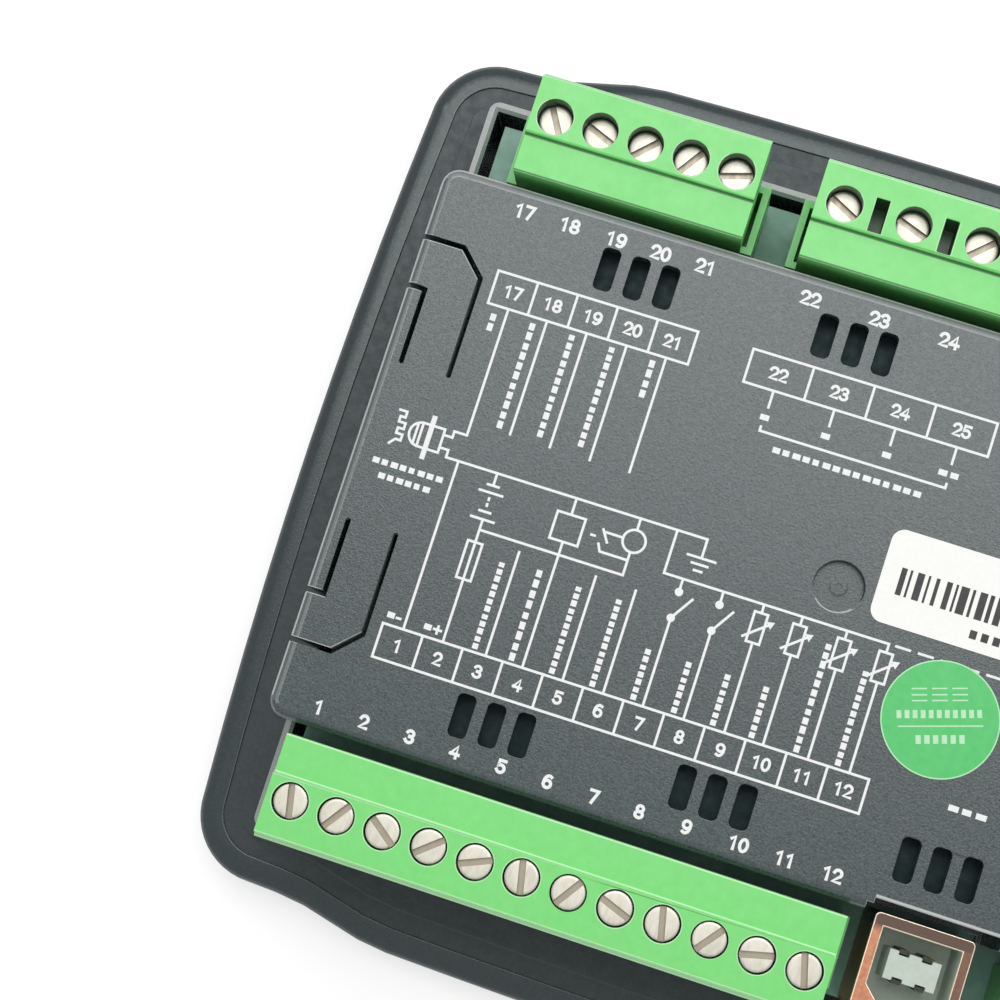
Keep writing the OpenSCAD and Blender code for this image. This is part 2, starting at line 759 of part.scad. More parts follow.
// Clamp screws with slotted heads at their own angles
module screws(n, p, turns, flip) {
    head = flip ? lower_head_z : head_z;
    color(steel_col) for (i = [0:n - 1]) translate([(flip ? -1 : 1) * (i - (n - 1) / 2) * p, 0, 0]) difference() {
        union() {
            translate([0, 0, head - 1.1]) cylinder(d = screw_head, h = 1.1);
            translate([0, 0, clamp_z + clamp_h - 1.4]) cylinder(d = screw_shank, h = head - clamp_z - clamp_h + 0.4);
        }
        translate([0, 0, head - 0.6]) rotate([0, 0, turns[i]]) block(screw_head + 1, screw_slot, 0, 1);
    }
}

// Wire clamps: bent cages with a threaded top
module clamps(n, p) {
    color("#b8bcc0") poles(n, p) difference() {
        block(clamp_w, clamp_w, clamp_z, clamp_z + clamp_h);
        block(clamp_w - 2 * clamp_t, clamp_w + 1, clamp_z + clamp_t, clamp_z + clamp_h - clamp_t);
        translate([0, 0, clamp_z + clamp_t]) cylinder(d = screw_shank + metal_play, h = clamp_h);
    }
}

// Mouth of the data socket: square with two cut corners on its outer side
module mouth(w, h) {
    cut = 1.7;
    polygon([[-w / 2, h / 2], [w / 2, h / 2], [w / 2, -h / 2 + cut], [w / 2 - cut, -h / 2], [-w / 2 + cut, -h / 2],
        [-w / 2, -h / 2 + cut]]);
}

module usb_shell() {
    color("#c98f6c") translate([usb_x, usb_y, 0]) difference() {
        slab(usb_w, usb_d, 0.6, board_top, board_top + usb_h);
        block(usb_w - 2 * shell_t, usb_d - 2 * shell_t, board_top - 1, board_top + usb_h - shell_t);
        translate([0, 0, board_top]) linear_extrude(usb_h + 1) mouth(mouth_w, mouth_h);
    }
}

module usb_insert() {
    top = board_top + usb_h - shell_t;
    gap = shell_t + metal_play;
    color("#c9d3cb") translate([usb_x, usb_y, 0]) difference() {
        block(usb_w - 2 * gap, usb_d - 2 * gap, board_top, top);
        difference() {
            translate([0, 0, top - 9]) linear_extrude(10) mouth(mouth_w, mouth_h);
            translate([0, 0.4, 0]) block(5.6, 3.2, board_top, top - 1);
        }
        usb_lines() block(1 + metal_play, 0.8, top - 9, top);
    }
}

module usb_lines() {
    for (x = [-1.25, 1.25], y = [2, -1.2]) translate([x, y, 0]) children();
}

module usb_contacts() {
    top = board_top + usb_h - shell_t;
    color(pin_col) translate([usb_x, usb_y, 0]) usb_lines() block(1, 0.5, top - 9, top - 1.5);
}

module data_label() {
    color("#f2f2ee") translate([gate_d / 2 + label_gap + label_w / 2, label_y, 0])
        slab(label_w, label_h, 1.4, case_d, case_d + label_t);
}

module round_sticker() {
    color("#4fc478") translate([sticker_x, -sticker_y, case_d]) cylinder(d = sticker_d, h = label_t);
}

module output_relays() {
    relay_l = 0.36 * parts_h;
    color("#303436") for (i = [0:4]) translate([vent_x(i / 2), 0.495 * relay_l - parts_h / 2, 0])
        block(vent_group / 2 - relay_gap, 0.97 * relay_l, board_top, board_top + parts_top - relay_top);
}

module capacitors() {
    can_h = 0.78 * parts_top;
    color("#26313a") for (i = [0:2]) translate([vent_x(i + 0.5), 0.29 * parts_h, board_top]) difference() {
        cylinder(d = 0.9 * column, h = can_h);
        translate([0, 0, can_h - 0.3]) for (a = [0, 90]) rotate([0, 0, a]) block(0.55 * column, 0.5, 0, 1);
    }
}

module current_sensors() {
    color("#3c4246") for (i = [0:2]) translate([vent_x(i), parts_h / 2 - 0.51 * column, 0])
        block(column, column, board_top, board_top + parts_top - relay_top);
}

module controller_chip() {
    color("#222426") translate([0.44 * parts_w, -0.2 * parts_h, 0])
        block(1.27 * column, 1.27 * column, board_top, board_top + 1.4);
}

front_bezel();
panel_gasket();
back_cover();
display_window();
display_glass();
display_frame();
display_board();
display_board_screws();
tact_switches();
status_lamps();
key_stop();
key_manual();
key_auto();
key_start();
key_up();
key_down();
main_board();
main_board_screws();
board_link();
at_row(lower_a_x, -1) header(12, pitch);  // header_1_12
at_row(lower_b_x, -1) header(4, pitch);  // header_13_16
at_row(upper_a_x, 1) header(5, pitch, upper_more);  // header_17_21
at_row(0, 1) header(4, wide_pitch, upper_more + wide_more);  // header_22_25
at_row(upper_c_x, 1) header(4, wide_pitch, upper_more + wide_more);  // header_26_29
at_row(lower_a_x, -1) pins(12, pitch);  // pins_1_12
at_row(lower_b_x, -1) pins(4, pitch);  // pins_13_16
at_row(upper_a_x, 1) pins(5, pitch);  // pins_17_21
at_row(0, 1) pins(4, wide_pitch);  // pins_22_25
at_row(upper_c_x, 1) pins(4, wide_pitch);  // pins_26_29
at_row(lower_a_x, -1) plug(12, pitch);  // plug_1_12
at_row(lower_b_x, -1) plug(4, pitch);  // plug_13_16
at_row(upper_a_x, 1) plug(5, pitch);  // plug_17_21
at_row(0, 1) plug(4, wide_pitch, wide_more);  // plug_22_25
at_row(upper_c_x, 1) plug(4, wide_pitch, wide_more);  // plug_26_29
at_row(lower_a_x, -1) screws(12, pitch, turn_1_12, true);  // screws_1_12
at_row(lower_b_x, -1) screws(4, pitch, turn_13_16, true);  // screws_13_16
at_row(upper_a_x, 1) screws(5, pitch, turn_17_21, false);  // screws_17_21
at_row(0, 1) screws(4, wide_pitch, turn_22_25, false);  // screws_22_25
at_row(upper_c_x, 1) screws(4, wide_pitch, turn_26_29, false);  // screws_26_29
at_row(lower_a_x, -1) clamps(12, pitch);  // clamps_1_12
at_row(lower_b_x, -1) clamps(4, pitch);  // clamps_13_16
at_row(upper_a_x, 1) clamps(5, pitch);  // clamps_17_21
at_row(0, 1) clamps(4, wide_pitch);  // clamps_22_25
at_row(upper_c_x, 1) clamps(4, wide_pitch);  // clamps_26_29
usb_shell();
usb_insert();
usb_contacts();
data_label();
round_sticker();
output_relays();
capacitors();
current_sensors();
controller_chip();
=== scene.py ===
"""Rear view of a panel-mounted generator-set controller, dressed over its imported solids.

Lengths are in mm from the middle of the case, and heights are from its front, unless a line says otherwise.
"""
import math

import bmesh
import bpy
from mathutils import Euler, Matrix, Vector


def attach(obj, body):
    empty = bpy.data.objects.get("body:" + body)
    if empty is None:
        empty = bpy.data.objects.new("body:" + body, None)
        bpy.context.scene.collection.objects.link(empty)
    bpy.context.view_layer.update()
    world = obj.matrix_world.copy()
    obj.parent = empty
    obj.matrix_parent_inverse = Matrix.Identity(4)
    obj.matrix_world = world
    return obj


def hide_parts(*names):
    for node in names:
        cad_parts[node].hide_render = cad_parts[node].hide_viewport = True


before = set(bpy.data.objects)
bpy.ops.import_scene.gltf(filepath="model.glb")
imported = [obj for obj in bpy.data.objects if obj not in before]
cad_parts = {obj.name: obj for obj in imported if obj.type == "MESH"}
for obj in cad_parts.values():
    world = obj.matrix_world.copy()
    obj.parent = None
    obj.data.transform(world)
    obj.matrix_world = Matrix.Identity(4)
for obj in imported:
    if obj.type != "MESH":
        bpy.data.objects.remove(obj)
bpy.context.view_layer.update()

MM = 0.001
PLATE_Z = 33.0
PLATE_ROLL = 1.0
PLATE_WALL = 1.8
LABEL_TOP = 33.15


def linked(name, data):
    """A new object in the scene."""
    item = bpy.data.objects.new(name, data)
    bpy.context.scene.collection.objects.link(item)
    return item


# Camera at the photograph's viewing angle, in metres and radians
camera_data = bpy.data.cameras.new("camera")
camera_data.lens = 91.4
camera_data.sensor_width = 36.0
camera_data.clip_start = 0.01
camera = linked("camera", camera_data)
camera.location = (-0.01122, -0.02912, 0.29936)
camera.rotation_euler = Euler((0.12526, 0.05951, 0.31438), "XYZ")
bpy.context.scene.camera = camera
bpy.context.scene.view_settings.view_transform = "Standard"


# Range of the noise that the tones run over, and its detail in colour and in gloss
NOISE_LOW, NOISE_HIGH = 0.3, 0.7
FINE_DETAIL, GLOSS_DETAIL = 3.0, 2.0
# Grain of the gloss, as a share of the grain of the colour
GLOSS_GRAIN = 0.35
# How much of the painted shade shows on a marked face: screw well walls, gaps between poles and the upper step
SHADE_AMOUNT = 0.9
METAL_RELIEF = 0.004
EVEN = (1.0, 1.0, 1.0)
# Painted shade on the socket shell: where it starts and where it is full, along the bay and across it, and its
# most
SHELL_SHADE_X, SHELL_SHADE_MOST_X = (22.6 * MM, 23.6 * MM), 0.75
SHELL_SHADE_Y, SHELL_SHADE_MOST_Y = (-32.9 * MM, -32.0 * MM), 0.92


def finish(name, rough, metallic=0.0, specular=0.5):
    """A material with a principled shader, and its node tree."""
    material = bpy.data.materials.new(name)
    material.use_nodes = True
    tree = material.node_tree
    shader = tree.nodes["Principled BSDF"]
    shader.inputs["Roughness"].default_value = rough
    shader.inputs["Metallic"].default_value = metallic
    shader.inputs["Specular IOR Level"].default_value = specular
    return material, tree, shader


def speckle(tree, grain, detail, stretch=EVEN):
    """Noise on the piece's own coordinates, with its grain per metre."""
    coord = tree.nodes.new("ShaderNodeTexCoord")
    mapping = tree.nodes.new("ShaderNodeMapping")
    mapping.inputs["Scale"].default_value = stretch
    noise = tree.nodes.new("ShaderNodeTexNoise")
    noise.inputs["Scale"].default_value = grain
    noise.inputs["Detail"].default_value = detail
    tree.links.new(coord.outputs["Object"], mapping.inputs["Vector"])
    tree.links.new(mapping.outputs["Vector"], noise.inputs["Vector"])
    return noise.outputs["Fac"]


def tones(tree, factor, dark, light):
    """A colour from dark to light over the range of the noise."""
    ramp = tree.nodes.new("ShaderNodeValToRGB")
    for element, place, colour in zip(ramp.color_ramp.elements, (NOISE_LOW, NOISE_HIGH), (dark, light)):
        element.position = place
        element.color = (*colour, 1.0)
    tree.links.new(factor, ramp.inputs["Fac"])
    return ramp.outputs["Color"]


def between(tree, factor, low, high, start=NOISE_LOW, stop=NOISE_HIGH):
    """The factor stretched to run from low to high."""
    scale = tree.nodes.new("ShaderNodeMapRange")
    for socket, value in (("From Min", start), ("From Max", stop), ("To Min", low), ("To Max", high)):
        scale.inputs[socket].default_value = value
    tree.links.new(factor, scale.inputs["Value"])
    return scale.outputs["Result"]


def reckon(tree, operation, *terms):
    """A math node whose terms are sockets or plain numbers."""
    node = tree.nodes.new("ShaderNodeMath")
    node.operation = operation
    for socket, term in zip(node.inputs, terms):
        if isinstance(term, float):
            socket.default_value = term
        else:
            tree.links.new(term, socket)
    return node.outputs[0]


def mixed(tree, factor, colour, other):
    """The colour, changed to another tone by a factor."""
    mix = tree.nodes.new("ShaderNodeMix")
    mix.data_type = "RGBA"
    mix.inputs["B"].default_value = (*other, 1.0)
    tree.links.new(factor, mix.inputs["Factor"])
    tree.links.new(colour, mix.inputs["A"])
    return mix.outputs["Result"]


def worn(tree, colour, tone, amount, mark="edge"):
    """Another tone on marked faces: rounded edges (wear and painted highlight), and painted shade in wells and
    slots.
    """
    marked = tree.nodes.new("ShaderNodeAttribute")
    marked.attribute_name = mark
    return mixed(tree, reckon(tree, "MULTIPLY", marked.outputs["Fac"], amount), colour, tone)


def surface(tree, shader, colour, gloss, rough, relief, depth):
    """The shader fed with a colour, a roughness between two limits and a fine relief."""
    tree.links.new(colour, shader.inputs["Base Color"])
    tree.links.new(between(tree, gloss, *rough), shader.inputs["Roughness"])
    bump = tree.nodes.new("ShaderNodeBump")
    bump.inputs["Distance"].default_value = depth * MM
    bump.inputs["Strength"].default_value = 1.0
    tree.links.new(relief, bump.inputs["Height"])
    tree.links.new(bump.outputs["Normal"], shader.inputs["Normal"])


def moulded(name, dark, light, grain, depth, rough, edge=None, specular=0.5, well=None, tint=None):
    """Moulded plastic: fine speckle in colour, gloss and relief.

    edge gives the tone of the rounded edges, wear with a painted highlight, and how much of it shows; the next
    argument gives the tone of painted shade in marked wells, gaps and steps; and tint the colour of the sheen.
    """
    material, tree, shader = finish(name, rough[0], specular=specular)
    if tint:
        shader.inputs["Specular Tint"].default_value = (*tint, 1.0)
    fine = speckle(tree, grain, FINE_DETAIL)
    colour = tones(tree, fine, dark, light)
    if edge:
        colour = worn(tree, colour, *edge)
    if well:
        colour = worn(tree, colour, well, SHADE_AMOUNT, "well")
    surface(tree, shader, colour, speckle(tree, grain * GLOSS_GRAIN, GLOSS_DETAIL), rough, fine, depth)
    return material


def metal(name, dark, light, grain, rough, depth=METAL_RELIEF, stretch=EVEN, marked=None, shell_shade=None):
    """Plated metal: streaks in colour, gloss and relief.

    marked gives the tone of marked faces, how much of it shows and the mark, and the last argument the tone of
    the painted shade on two sides of the socket shell.
    """
    material, tree, shader = finish(name, rough[0], metallic=1.0)
    fine = speckle(tree, grain, FINE_DETAIL, stretch)
    colour = tones(tree, fine, dark, light)
    if shell_shade:
        coord = tree.nodes.new("ShaderNodeTexCoord")
        along = tree.nodes.new("ShaderNodeSeparateXYZ")
        tree.links.new(coord.outputs["Object"], along.inputs["Vector"])
        shade_share = reckon(tree, "MAXIMUM", between(tree, along.outputs["Y"], 0.0, SHELL_SHADE_MOST_Y, *SHELL_SHADE_Y),
                      between(tree, along.outputs["X"], 0.0, SHELL_SHADE_MOST_X, *SHELL_SHADE_X))
        colour = mixed(tree, shade_share, colour, shell_shade)
    if marked:
        colour = worn(tree, colour, *marked)
    surface(tree, shader, colour, fine, rough, fine, depth)
    return material


def key_plastic(name, dark, light, edge):
    """Moulded plastic of a key, with its tones and the tone of its edges, wear with a painted highlight."""
    return moulded(name, dark, light, grain=3000.0, depth=0.012, rough=(0.42, 0.55), edge=(edge, 0.5))


# Blue-green sheen of the black mouldings
COOL_SHEEN = (0.92, 1.0, 0.985)

# The pale edge tones below are wear with a painted highlight on the rounded edges
cover_finish = moulded("cover_black", (0.0, 0.009, 0.011), (0.048, 0.076, 0.077), grain=5200.0, depth=0.026,
                       rough=(0.22, 0.30), edge=((0.50, 0.53, 0.52), 0.85), specular=0.65)
bezel_finish = moulded("bezel_black", (0.010, 0.019, 0.022), (0.020, 0.032, 0.035), grain=3600.0, depth=0.012,
                       rough=(0.22, 0.29), edge=((0.110, 0.130, 0.130), 0.7), specular=0.53, tint=COOL_SHEEN)
seal_finish = moulded("seal_rubber", (0.010, 0.016, 0.019), (0.020, 0.029, 0.033), grain=2500.0, depth=0.014,
                      rough=(0.36, 0.48), edge=((0.05, 0.06, 0.062), 0.6), tint=COOL_SHEEN)
# The plug's pale edge tone is wear with a painted highlight; its darkest tone is painted shade in wells, gaps and
# on the upper step
plug_finish = moulded("terminal_green", (0.178, 0.660, 0.172), (0.198, 0.700, 0.190), grain=900.0, depth=0.006,
                      rough=(0.30, 0.40), edge=((0.50, 0.88, 0.48), 0.8), well=(0.022, 0.060, 0.026))
header_finish = moulded("header_green", (0.150, 0.520, 0.160), (0.175, 0.570, 0.180), grain=900.0, depth=0.006,
                        rough=(0.32, 0.42), edge=((0.36, 0.80, 0.34), 0.6))
# The slot floors of the clamp screws are marked for a darker tone: painted shade
screw_finish = metal("clamp_screw", (0.44, 0.425, 0.365), (0.56, 0.54, 0.47), grain=1800.0, rough=(0.38, 0.52),
                     depth=0.008, stretch=(1.0, 0.3, 1.0), marked=((0.27, 0.235, 0.18), 0.85, "slot"))
contact_finish = metal("tinned_contact", (0.62, 0.60, 0.54), (0.74, 0.72, 0.66), grain=2500.0, rough=(0.28, 0.40))
clamp_finish = metal("wire_clamp", (0.55, 0.56, 0.56), (0.66, 0.67, 0.67), grain=2500.0, rough=(0.30, 0.45))
board_screw_finish = metal("board_screw", (0.50, 0.50, 0.50), (0.62, 0.62, 0.61), grain=2500.0,
                           rough=(0.30, 0.45))
# The socket shell gets a near-white painted highlight on its marked edges, and painted shade on two sides
socket_finish = metal("socket_copper", (0.36, 0.155, 0.092), (0.47, 0.225, 0.135), grain=2200.0,
                      rough=(0.30, 0.45), stretch=(1.0, 1.0, 0.15), shell_shade=(0.075, 0.062, 0.053),
                      marked=((0.86, 0.74, 0.60), 0.85, "edge"))
socket_contact_finish = metal("socket_contact", (0.030, 0.032, 0.028), (0.055, 0.058, 0.048), grain=2500.0,
                              rough=(0.35, 0.5))
insert_finish = moulded("socket_insert", (0.52, 0.60, 0.52), (0.58, 0.66, 0.57), grain=1500.0, depth=0.006,
                        rough=(0.45, 0.6))
print_finish = moulded("print_white", (0.78, 0.80, 0.79), (0.88, 0.90, 0.89), grain=3000.0, depth=0.004,
                       rough=(0.5, 0.65))
paper_finish = moulded("label_paper", (0.90, 0.90, 0.87), (0.93, 0.93, 0.90), grain=2200.0, depth=0.004,
                       rough=(0.5, 0.6))
ink_finish = moulded("label_ink", (0.020, 0.020, 0.022), (0.034, 0.034, 0.036), grain=2600.0, depth=0.002,
                     rough=(0.5, 0.6))
sticker_finish = moulded("sticker_green", (0.070, 0.500, 0.130), (0.084, 0.545, 0.150), grain=1200.0,
                         depth=0.003, rough=(0.35, 0.5))
sticker_print_finish = moulded("sticker_print", (0.42, 0.74, 0.45), (0.52, 0.80, 0.55), grain=2600.0,
                               depth=0.002, rough=(0.4, 0.5))
board_finish = moulded("board_mask", (0.12, 0.26, 0.20), (0.16, 0.32, 0.25), grain=700.0, depth=0.006,
                       rough=(0.35, 0.5))
black_part_finish = moulded("part_black", (0.006, 0.011, 0.012), (0.011, 0.018, 0.020), grain=2500.0,
                            depth=0.01, rough=(0.45, 0.6), specular=0.3, tint=(0.7, 1.0, 1.0))
can_finish = moulded("capacitor_sleeve", (0.018, 0.028, 0.036), (0.030, 0.042, 0.052), grain=1800.0,
                     depth=0.006, rough=(0.3, 0.45))
frame_finish = metal("display_frame", (0.50, 0.51, 0.52), (0.60, 0.61, 0.62), grain=2500.0, rough=(0.35, 0.5))
glass_finish = moulded("display_glass", (0.10, 0.15, 0.11), (0.12, 0.17, 0.13), grain=400.0, depth=0.001,
                       rough=(0.06, 0.12))
lamp_finish = moulded("status_lamp", (0.55, 0.68, 0.55), (0.62, 0.74, 0.62), grain=900.0, depth=0.002,
                      rough=(0.15, 0.25))
red_key_finish = key_plastic("key_red", (0.42, 0.030, 0.022), (0.50, 0.042, 0.030), (0.62, 0.16, 0.13))
grey_key_finish = key_plastic("key_grey", (0.23, 0.25, 0.255), (0.29, 0.31, 0.315), (0.45, 0.47, 0.47))
green_key_finish = key_plastic("key_green", (0.040, 0.28, 0.060), (0.055, 0.34, 0.080), (0.20, 0.50, 0.22))


# Corners that turn more than this stay sharp in the shading, in degrees, and the weight of large faces in it
SHARP_ANGLE = 32.0
FACE_WEIGHT = 100
# Points closer than this are one, in metres, and faces that turn less than this are one, in degrees
WELD = 1e-6
FLAT_ANGLE = 0.2
# Edges that turn more than this are rounded, in degrees, unless they meet a sharp edge shorter than this
CORNER_ANGLE = 35.0
SHORT_EDGE = 0.06
ROUND_STEPS = 2
# Mark of a face that stays without a pale tone
PLAIN = -1.0


def settled(carrier):
    """The plain mesh that an object's modifiers give; the object goes."""
    graph = bpy.context.evaluated_depsgraph_get()
    mesh = bpy.data.meshes.new_from_object(carrier.evaluated_get(graph), preserve_all_data_layers=True,
                                           depsgraph=graph)
    bpy.data.objects.remove(carrier)
    return mesh


def shaded(mesh, degrees=SHARP_ANGLE):
    """The mesh with smooth curves, flat faces that stay flat, and sharp corners past an angle."""
    for polygon in mesh.polygons:
        polygon.use_smooth = True
    mesh.set_sharp_from_angle(angle=math.radians(degrees))
    carrier = linked("carrier", mesh)
    weigh = carrier.modifiers.new("weigh", "WEIGHTED_NORMAL")
    weigh.weight = FACE_WEIGHT
    weigh.keep_sharp = True
    return settled(carrier)


def meshed(bm, name):
    """The mesh of a shape that is done."""
    mesh = bpy.data.meshes.new(name)
    bm.to_mesh(mesh)
    bm.free()
    return mesh


def place(mesh, name, material, body="housing", slot=None, *nodes):
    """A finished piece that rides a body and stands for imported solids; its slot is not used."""
    mesh.materials.clear()
    mesh.materials.append(material)
    piece = linked(name, mesh)
    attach(piece, body)
    if nodes:
        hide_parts(*nodes)


def runs(edges):
    """The edges in groups that share no corner."""
    owner = {}
    groups = {}
    for edge in edges:
        keys = {owner[v] for v in edge.verts if v in owner}
        keep = min(keys, default=edge.index)
        group = groups.setdefault(keep, [])
        group.append(edge)
        for key in keys - {keep}:
            group.extend(groups.pop(key))
        for member in group:
            for vert in member.verts:
                owner[vert] = keep
    return [groups[key] for key in sorted(groups)]


def softened(node, material, width, body="housing", slot=None, also=None, wide=None, wells=None, shape=None):
    """A copy of a solid with its corners rounded over and marked for a paler tone, wear with a painted highlight.

    also() gives the mark of other faces, or PLAIN, wide is a test and a width for edges that are rounded more,
    and a further test gives how much painted shade a face gets in a well, a gap or a step. shape() changes the
    copy before it is rounded.
    """
    bm = bmesh.new()
    bm.from_mesh(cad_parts[node].data)
    bmesh.ops.remove_doubles(bm, verts=bm.verts, dist=WELD)
    bmesh.ops.dissolve_limit(bm, angle_limit=math.radians(FLAT_ANGLE), verts=bm.verts, edges=bm.edges)
    if shape:
        shape(bm)
    sharp = [e for e in bm.edges if len(e.link_faces) == 2 and e.calc_face_angle() > math.radians(CORNER_ANGLE)]
    crowded = {v for e in sharp if e.calc_length() < SHORT_EDGE * MM for v in e.verts}
    layer = bm.faces.layers.float.new("edge")
    bm.edges.index_update()
    free = [e for e in sharp if not crowded.intersection(e.verts)]
    broad = [e for e in free if wide and wide[0](e)]
    taken = {v for e in broad for v in e.verts}
    rounds = [(run, wide[1]) for run in runs(broad)]
    rounds += [(run, width) for run in runs([e for e in free if not taken.intersection(e.verts)])]
    for run, size in rounds:
        made = bmesh.ops.bevel(bm, geom=run, offset=size * MM, offset_type="OFFSET", segments=ROUND_STEPS,
                               profile=0.5, affect="EDGES", clamp_overlap=True)
        for face in made["faces"]:
            face[layer] = 1.0
    if also:
        for face in bm.faces:
            mark = also(face)
            face[layer] = 0.0 if mark == PLAIN else max(face[layer], mark)
    if wells:
        layer = bm.faces.layers.float.new("well")
        for face in bm.faces:
            face[layer] = wells(face)
    name = node + "_dressed"
    place(shaded(meshed(bm, name)), name, material, body, slot, node)


# Limits of a face's normal: a wall, a level top, and a face that looks towards the upper or the lower bay
WALL = 0.1
LEVEL = 0.5
SIDEWAYS = 0.1

# The rolled back edge of the bezel: its foot, its height, and the power of its fuller curve
ROLL_FOOT, ROLL_HEIGHT, ROLL_POWER = 6.0, 2.0, 3.0
# Slopes of its faces, and shares of its height that move
ROLL_SLOPES, ROLL_SHARES = (0.02, 0.998), (0.02, 0.999)


def fuller_roll(bm):
    """The rolled edge raised from a quarter ellipse to a fuller curve over the same run."""
    rolled = {vert for face in bm.faces if ROLL_SLOPES[0] < abs(face.normal.z) < ROLL_SLOPES[1]
              for vert in face.verts}
    for vert in rolled:
        rise = (vert.co.z / MM - ROLL_FOOT) / ROLL_HEIGHT
        if ROLL_SHARES[0] < rise < ROLL_SHARES[1]:
            left = math.sqrt(1.0 - rise * rise)
            vert.co.z = (ROLL_FOOT + ROLL_HEIGHT * (1.0 - left ** ROLL_POWER) ** (1.0 / ROLL_POWER)) * MM


softened("front_bezel", bezel_finish, width=0.15, slot="front_bezel", shape=fuller_roll)

# Top of the seal's foot, and how far the foot presses into the bezel
SEAL_FOOT, SEAL_PLAY = 7.7, 0.22


def pressed_out(bm):
    """The outer wall of the seal's foot moved out until it presses into the bezel."""
    pushes = {}
    for face in bm.faces:
        centre = face.calc_center_median()
        if abs(face.normal.z) < WALL and centre.z < SEAL_FOOT * MM and face.normal.xy.dot(centre.xy) > 0.0:
            for vert in face.verts:
                pushes.setdefault(vert, []).append(face.normal.copy())
    for vert, normals in pushes.items():
        way = sum(normals, Vector()).normalized()
        vert.co += way * SEAL_PLAY * MM


softened("panel_gasket", seal_finish, width=0.12, slot="panel_gasket", shape=pressed_out)

# Where the spring tongues and the vents lie in the label plate, and the heights of the rim of the bays
TONGUE_IN, TONGUE_OUT, TONGUE_END = 40.0, 53.3, 28.0
VENT_START, VENT_END = 15.0, 29.0
BAY_RIM = (15.5, 16.1)
# Painted highlights on the plate's rolled edge, by how steep a face is: along the sides, along the upper bay, and
# the share that is left along the lower bay, which faces away from the lamp
PLATE_EDGE_HIGHLIGHTS = ((0.008, 0.0), (0.06, 0.32), (0.2, 0.12), (0.42, 0.0), (0.97, 1.0))
UPPER_EDGE_HIGHLIGHTS = ((0.008, 0.0), (0.06, 0.45), (0.2, 0.35), (0.42, 0.0), (0.97, 1.0))
LOWER_HIGHLIGHT_SHARE = 0.1
# Faces this close under the plate's top have no tone
PLATE_SKIN = 0.01
# Painted highlights on the walls of the tongue slits, with how steep they are, and on the rim of the bays, with
# wear
SLIT_HIGHLIGHT, SLIT_STEEP = 0.8, 0.7
BAY_RIM_HIGHLIGHT = 0.6
# Moulding mark in the middle of the plate: its radius with the room for its rim, how much deeper it is sunk,
# the reach and the heights of the points that move, and the painted highlights of its middle and of its wall
# that faces the lamp, with the turn of their faces
GATE_R, GATE_ROOM, GATE_SINK = 2.7, 0.2, 0.6
GATE_REACH, GATE_POINTS = GATE_R + 0.05, (PLATE_Z - 0.8, PLATE_Z - 0.02)
GATE_MIDDLE_HIGHLIGHT, GATE_MIDDLE_STEEP = 0.3, 0.1
GATE_WALL_HIGHLIGHT, GATE_WALL_TURN = 0.7, 0.25
# The notch of the label plate over the data socket: its ends, its edge, and the box that cuts it back
NOTCH_X, NOTCH_Y = (13.0, 26.6), -29.6
NOTCH_OUT, NOTCH_FOOT, NOTCH_TOP = -32.0, 17.0, PLATE_Z + 1.0
BOX_FACES = ((0, 1, 3, 2), (4, 6, 7, 5), (0, 4, 5, 1), (2, 3, 7, 6), (0, 2, 6, 4), (1, 5, 7, 3))
# Rounded ridge along the notch, across the plate and above it, toned as a painted highlight
RIDGE = ((0.0, -0.5), (0.0, -0.02), (0.06, 0.06), (0.19, 0.1), (0.32, 0.06), (0.4, -0.02), (0.4, -0.5))


def plate_edge(face):
    """Painted highlight on a face of the cover: moulding mark, tongue slits, rim of the bays (with wear), rolled
    plate edge.
    """
    x, y, z = face.calc_center_median() / MM
    steep = 1.0 - abs(face.normal.z)
    facing = face.normal.y
    if z > PLATE_Z - PLATE_WALL:
        reach = math.hypot(x, y)
        if reach < GATE_R / 2:
            return GATE_MIDDLE_HIGHLIGHT if steep > GATE_MIDDLE_STEEP else PLAIN
        if reach < GATE_R + GATE_ROOM:
            return GATE_WALL_HIGHLIGHT if facing > GATE_WALL_TURN else PLAIN
        if abs(x) < TONGUE_IN and VENT_START < abs(y) < VENT_END:
            return PLAIN
        if steep > SLIT_STEEP and TONGUE_IN < abs(x) < TONGUE_OUT and abs(y) < TONGUE_END:
            return SLIT_HIGHLIGHT
    if BAY_RIM[0] < z < BAY_RIM[1] and face.normal.z > LEVEL:
        return BAY_RIM_HIGHLIGHT
    if not PLATE_Z - PLATE_ROLL < z < PLATE_Z - PLATE_SKIN:
        return 0.0
    rows = UPPER_EDGE_HIGHLIGHTS if facing > SIDEWAYS else PLATE_EDGE_HIGHLIGHTS
    tone = next((tone for limit, tone in rows if steep < limit), 0.0)
    return tone * (LOWER_HIGHLIGHT_SHARE if facing < -SIDEWAYS else 1.0)


def cover_cuts(bm):
    """The copy of the cover with its moulding mark sunk deeper and its notch cut back."""
    for vert in bm.verts:
        if vert.co.xy.length < GATE_REACH * MM and GATE_POINTS[0] < vert.co.z / MM < GATE_POINTS[1]:
            vert.co.z -= GATE_SINK * MM
    mesh = bpy.data.meshes.new("cover_copy")
    bm.to_mesh(mesh)
    carrier = linked("cover_copy", mesh)
    cut_mesh = bpy.data.meshes.new("notch_cut")
    corners = [Vector((x, y, z)) * MM for x in NOTCH_X for y in (NOTCH_OUT, NOTCH_Y)
               for z in (NOTCH_FOOT, NOTCH_TOP)]
    cut_mesh.from_pydata(corners, [], BOX_FACES)
    cutter = linked("notch_cut", cut_mesh)
    cut = carrier.modifiers.new("notch", "BOOLEAN")
    cut.operation = "DIFFERENCE"
    cut.solver = "EXACT"
    cut.object = cutter
    bm.clear()
    bm.from_mesh(settled(carrier))
    bpy.data.objects.remove(cutter)


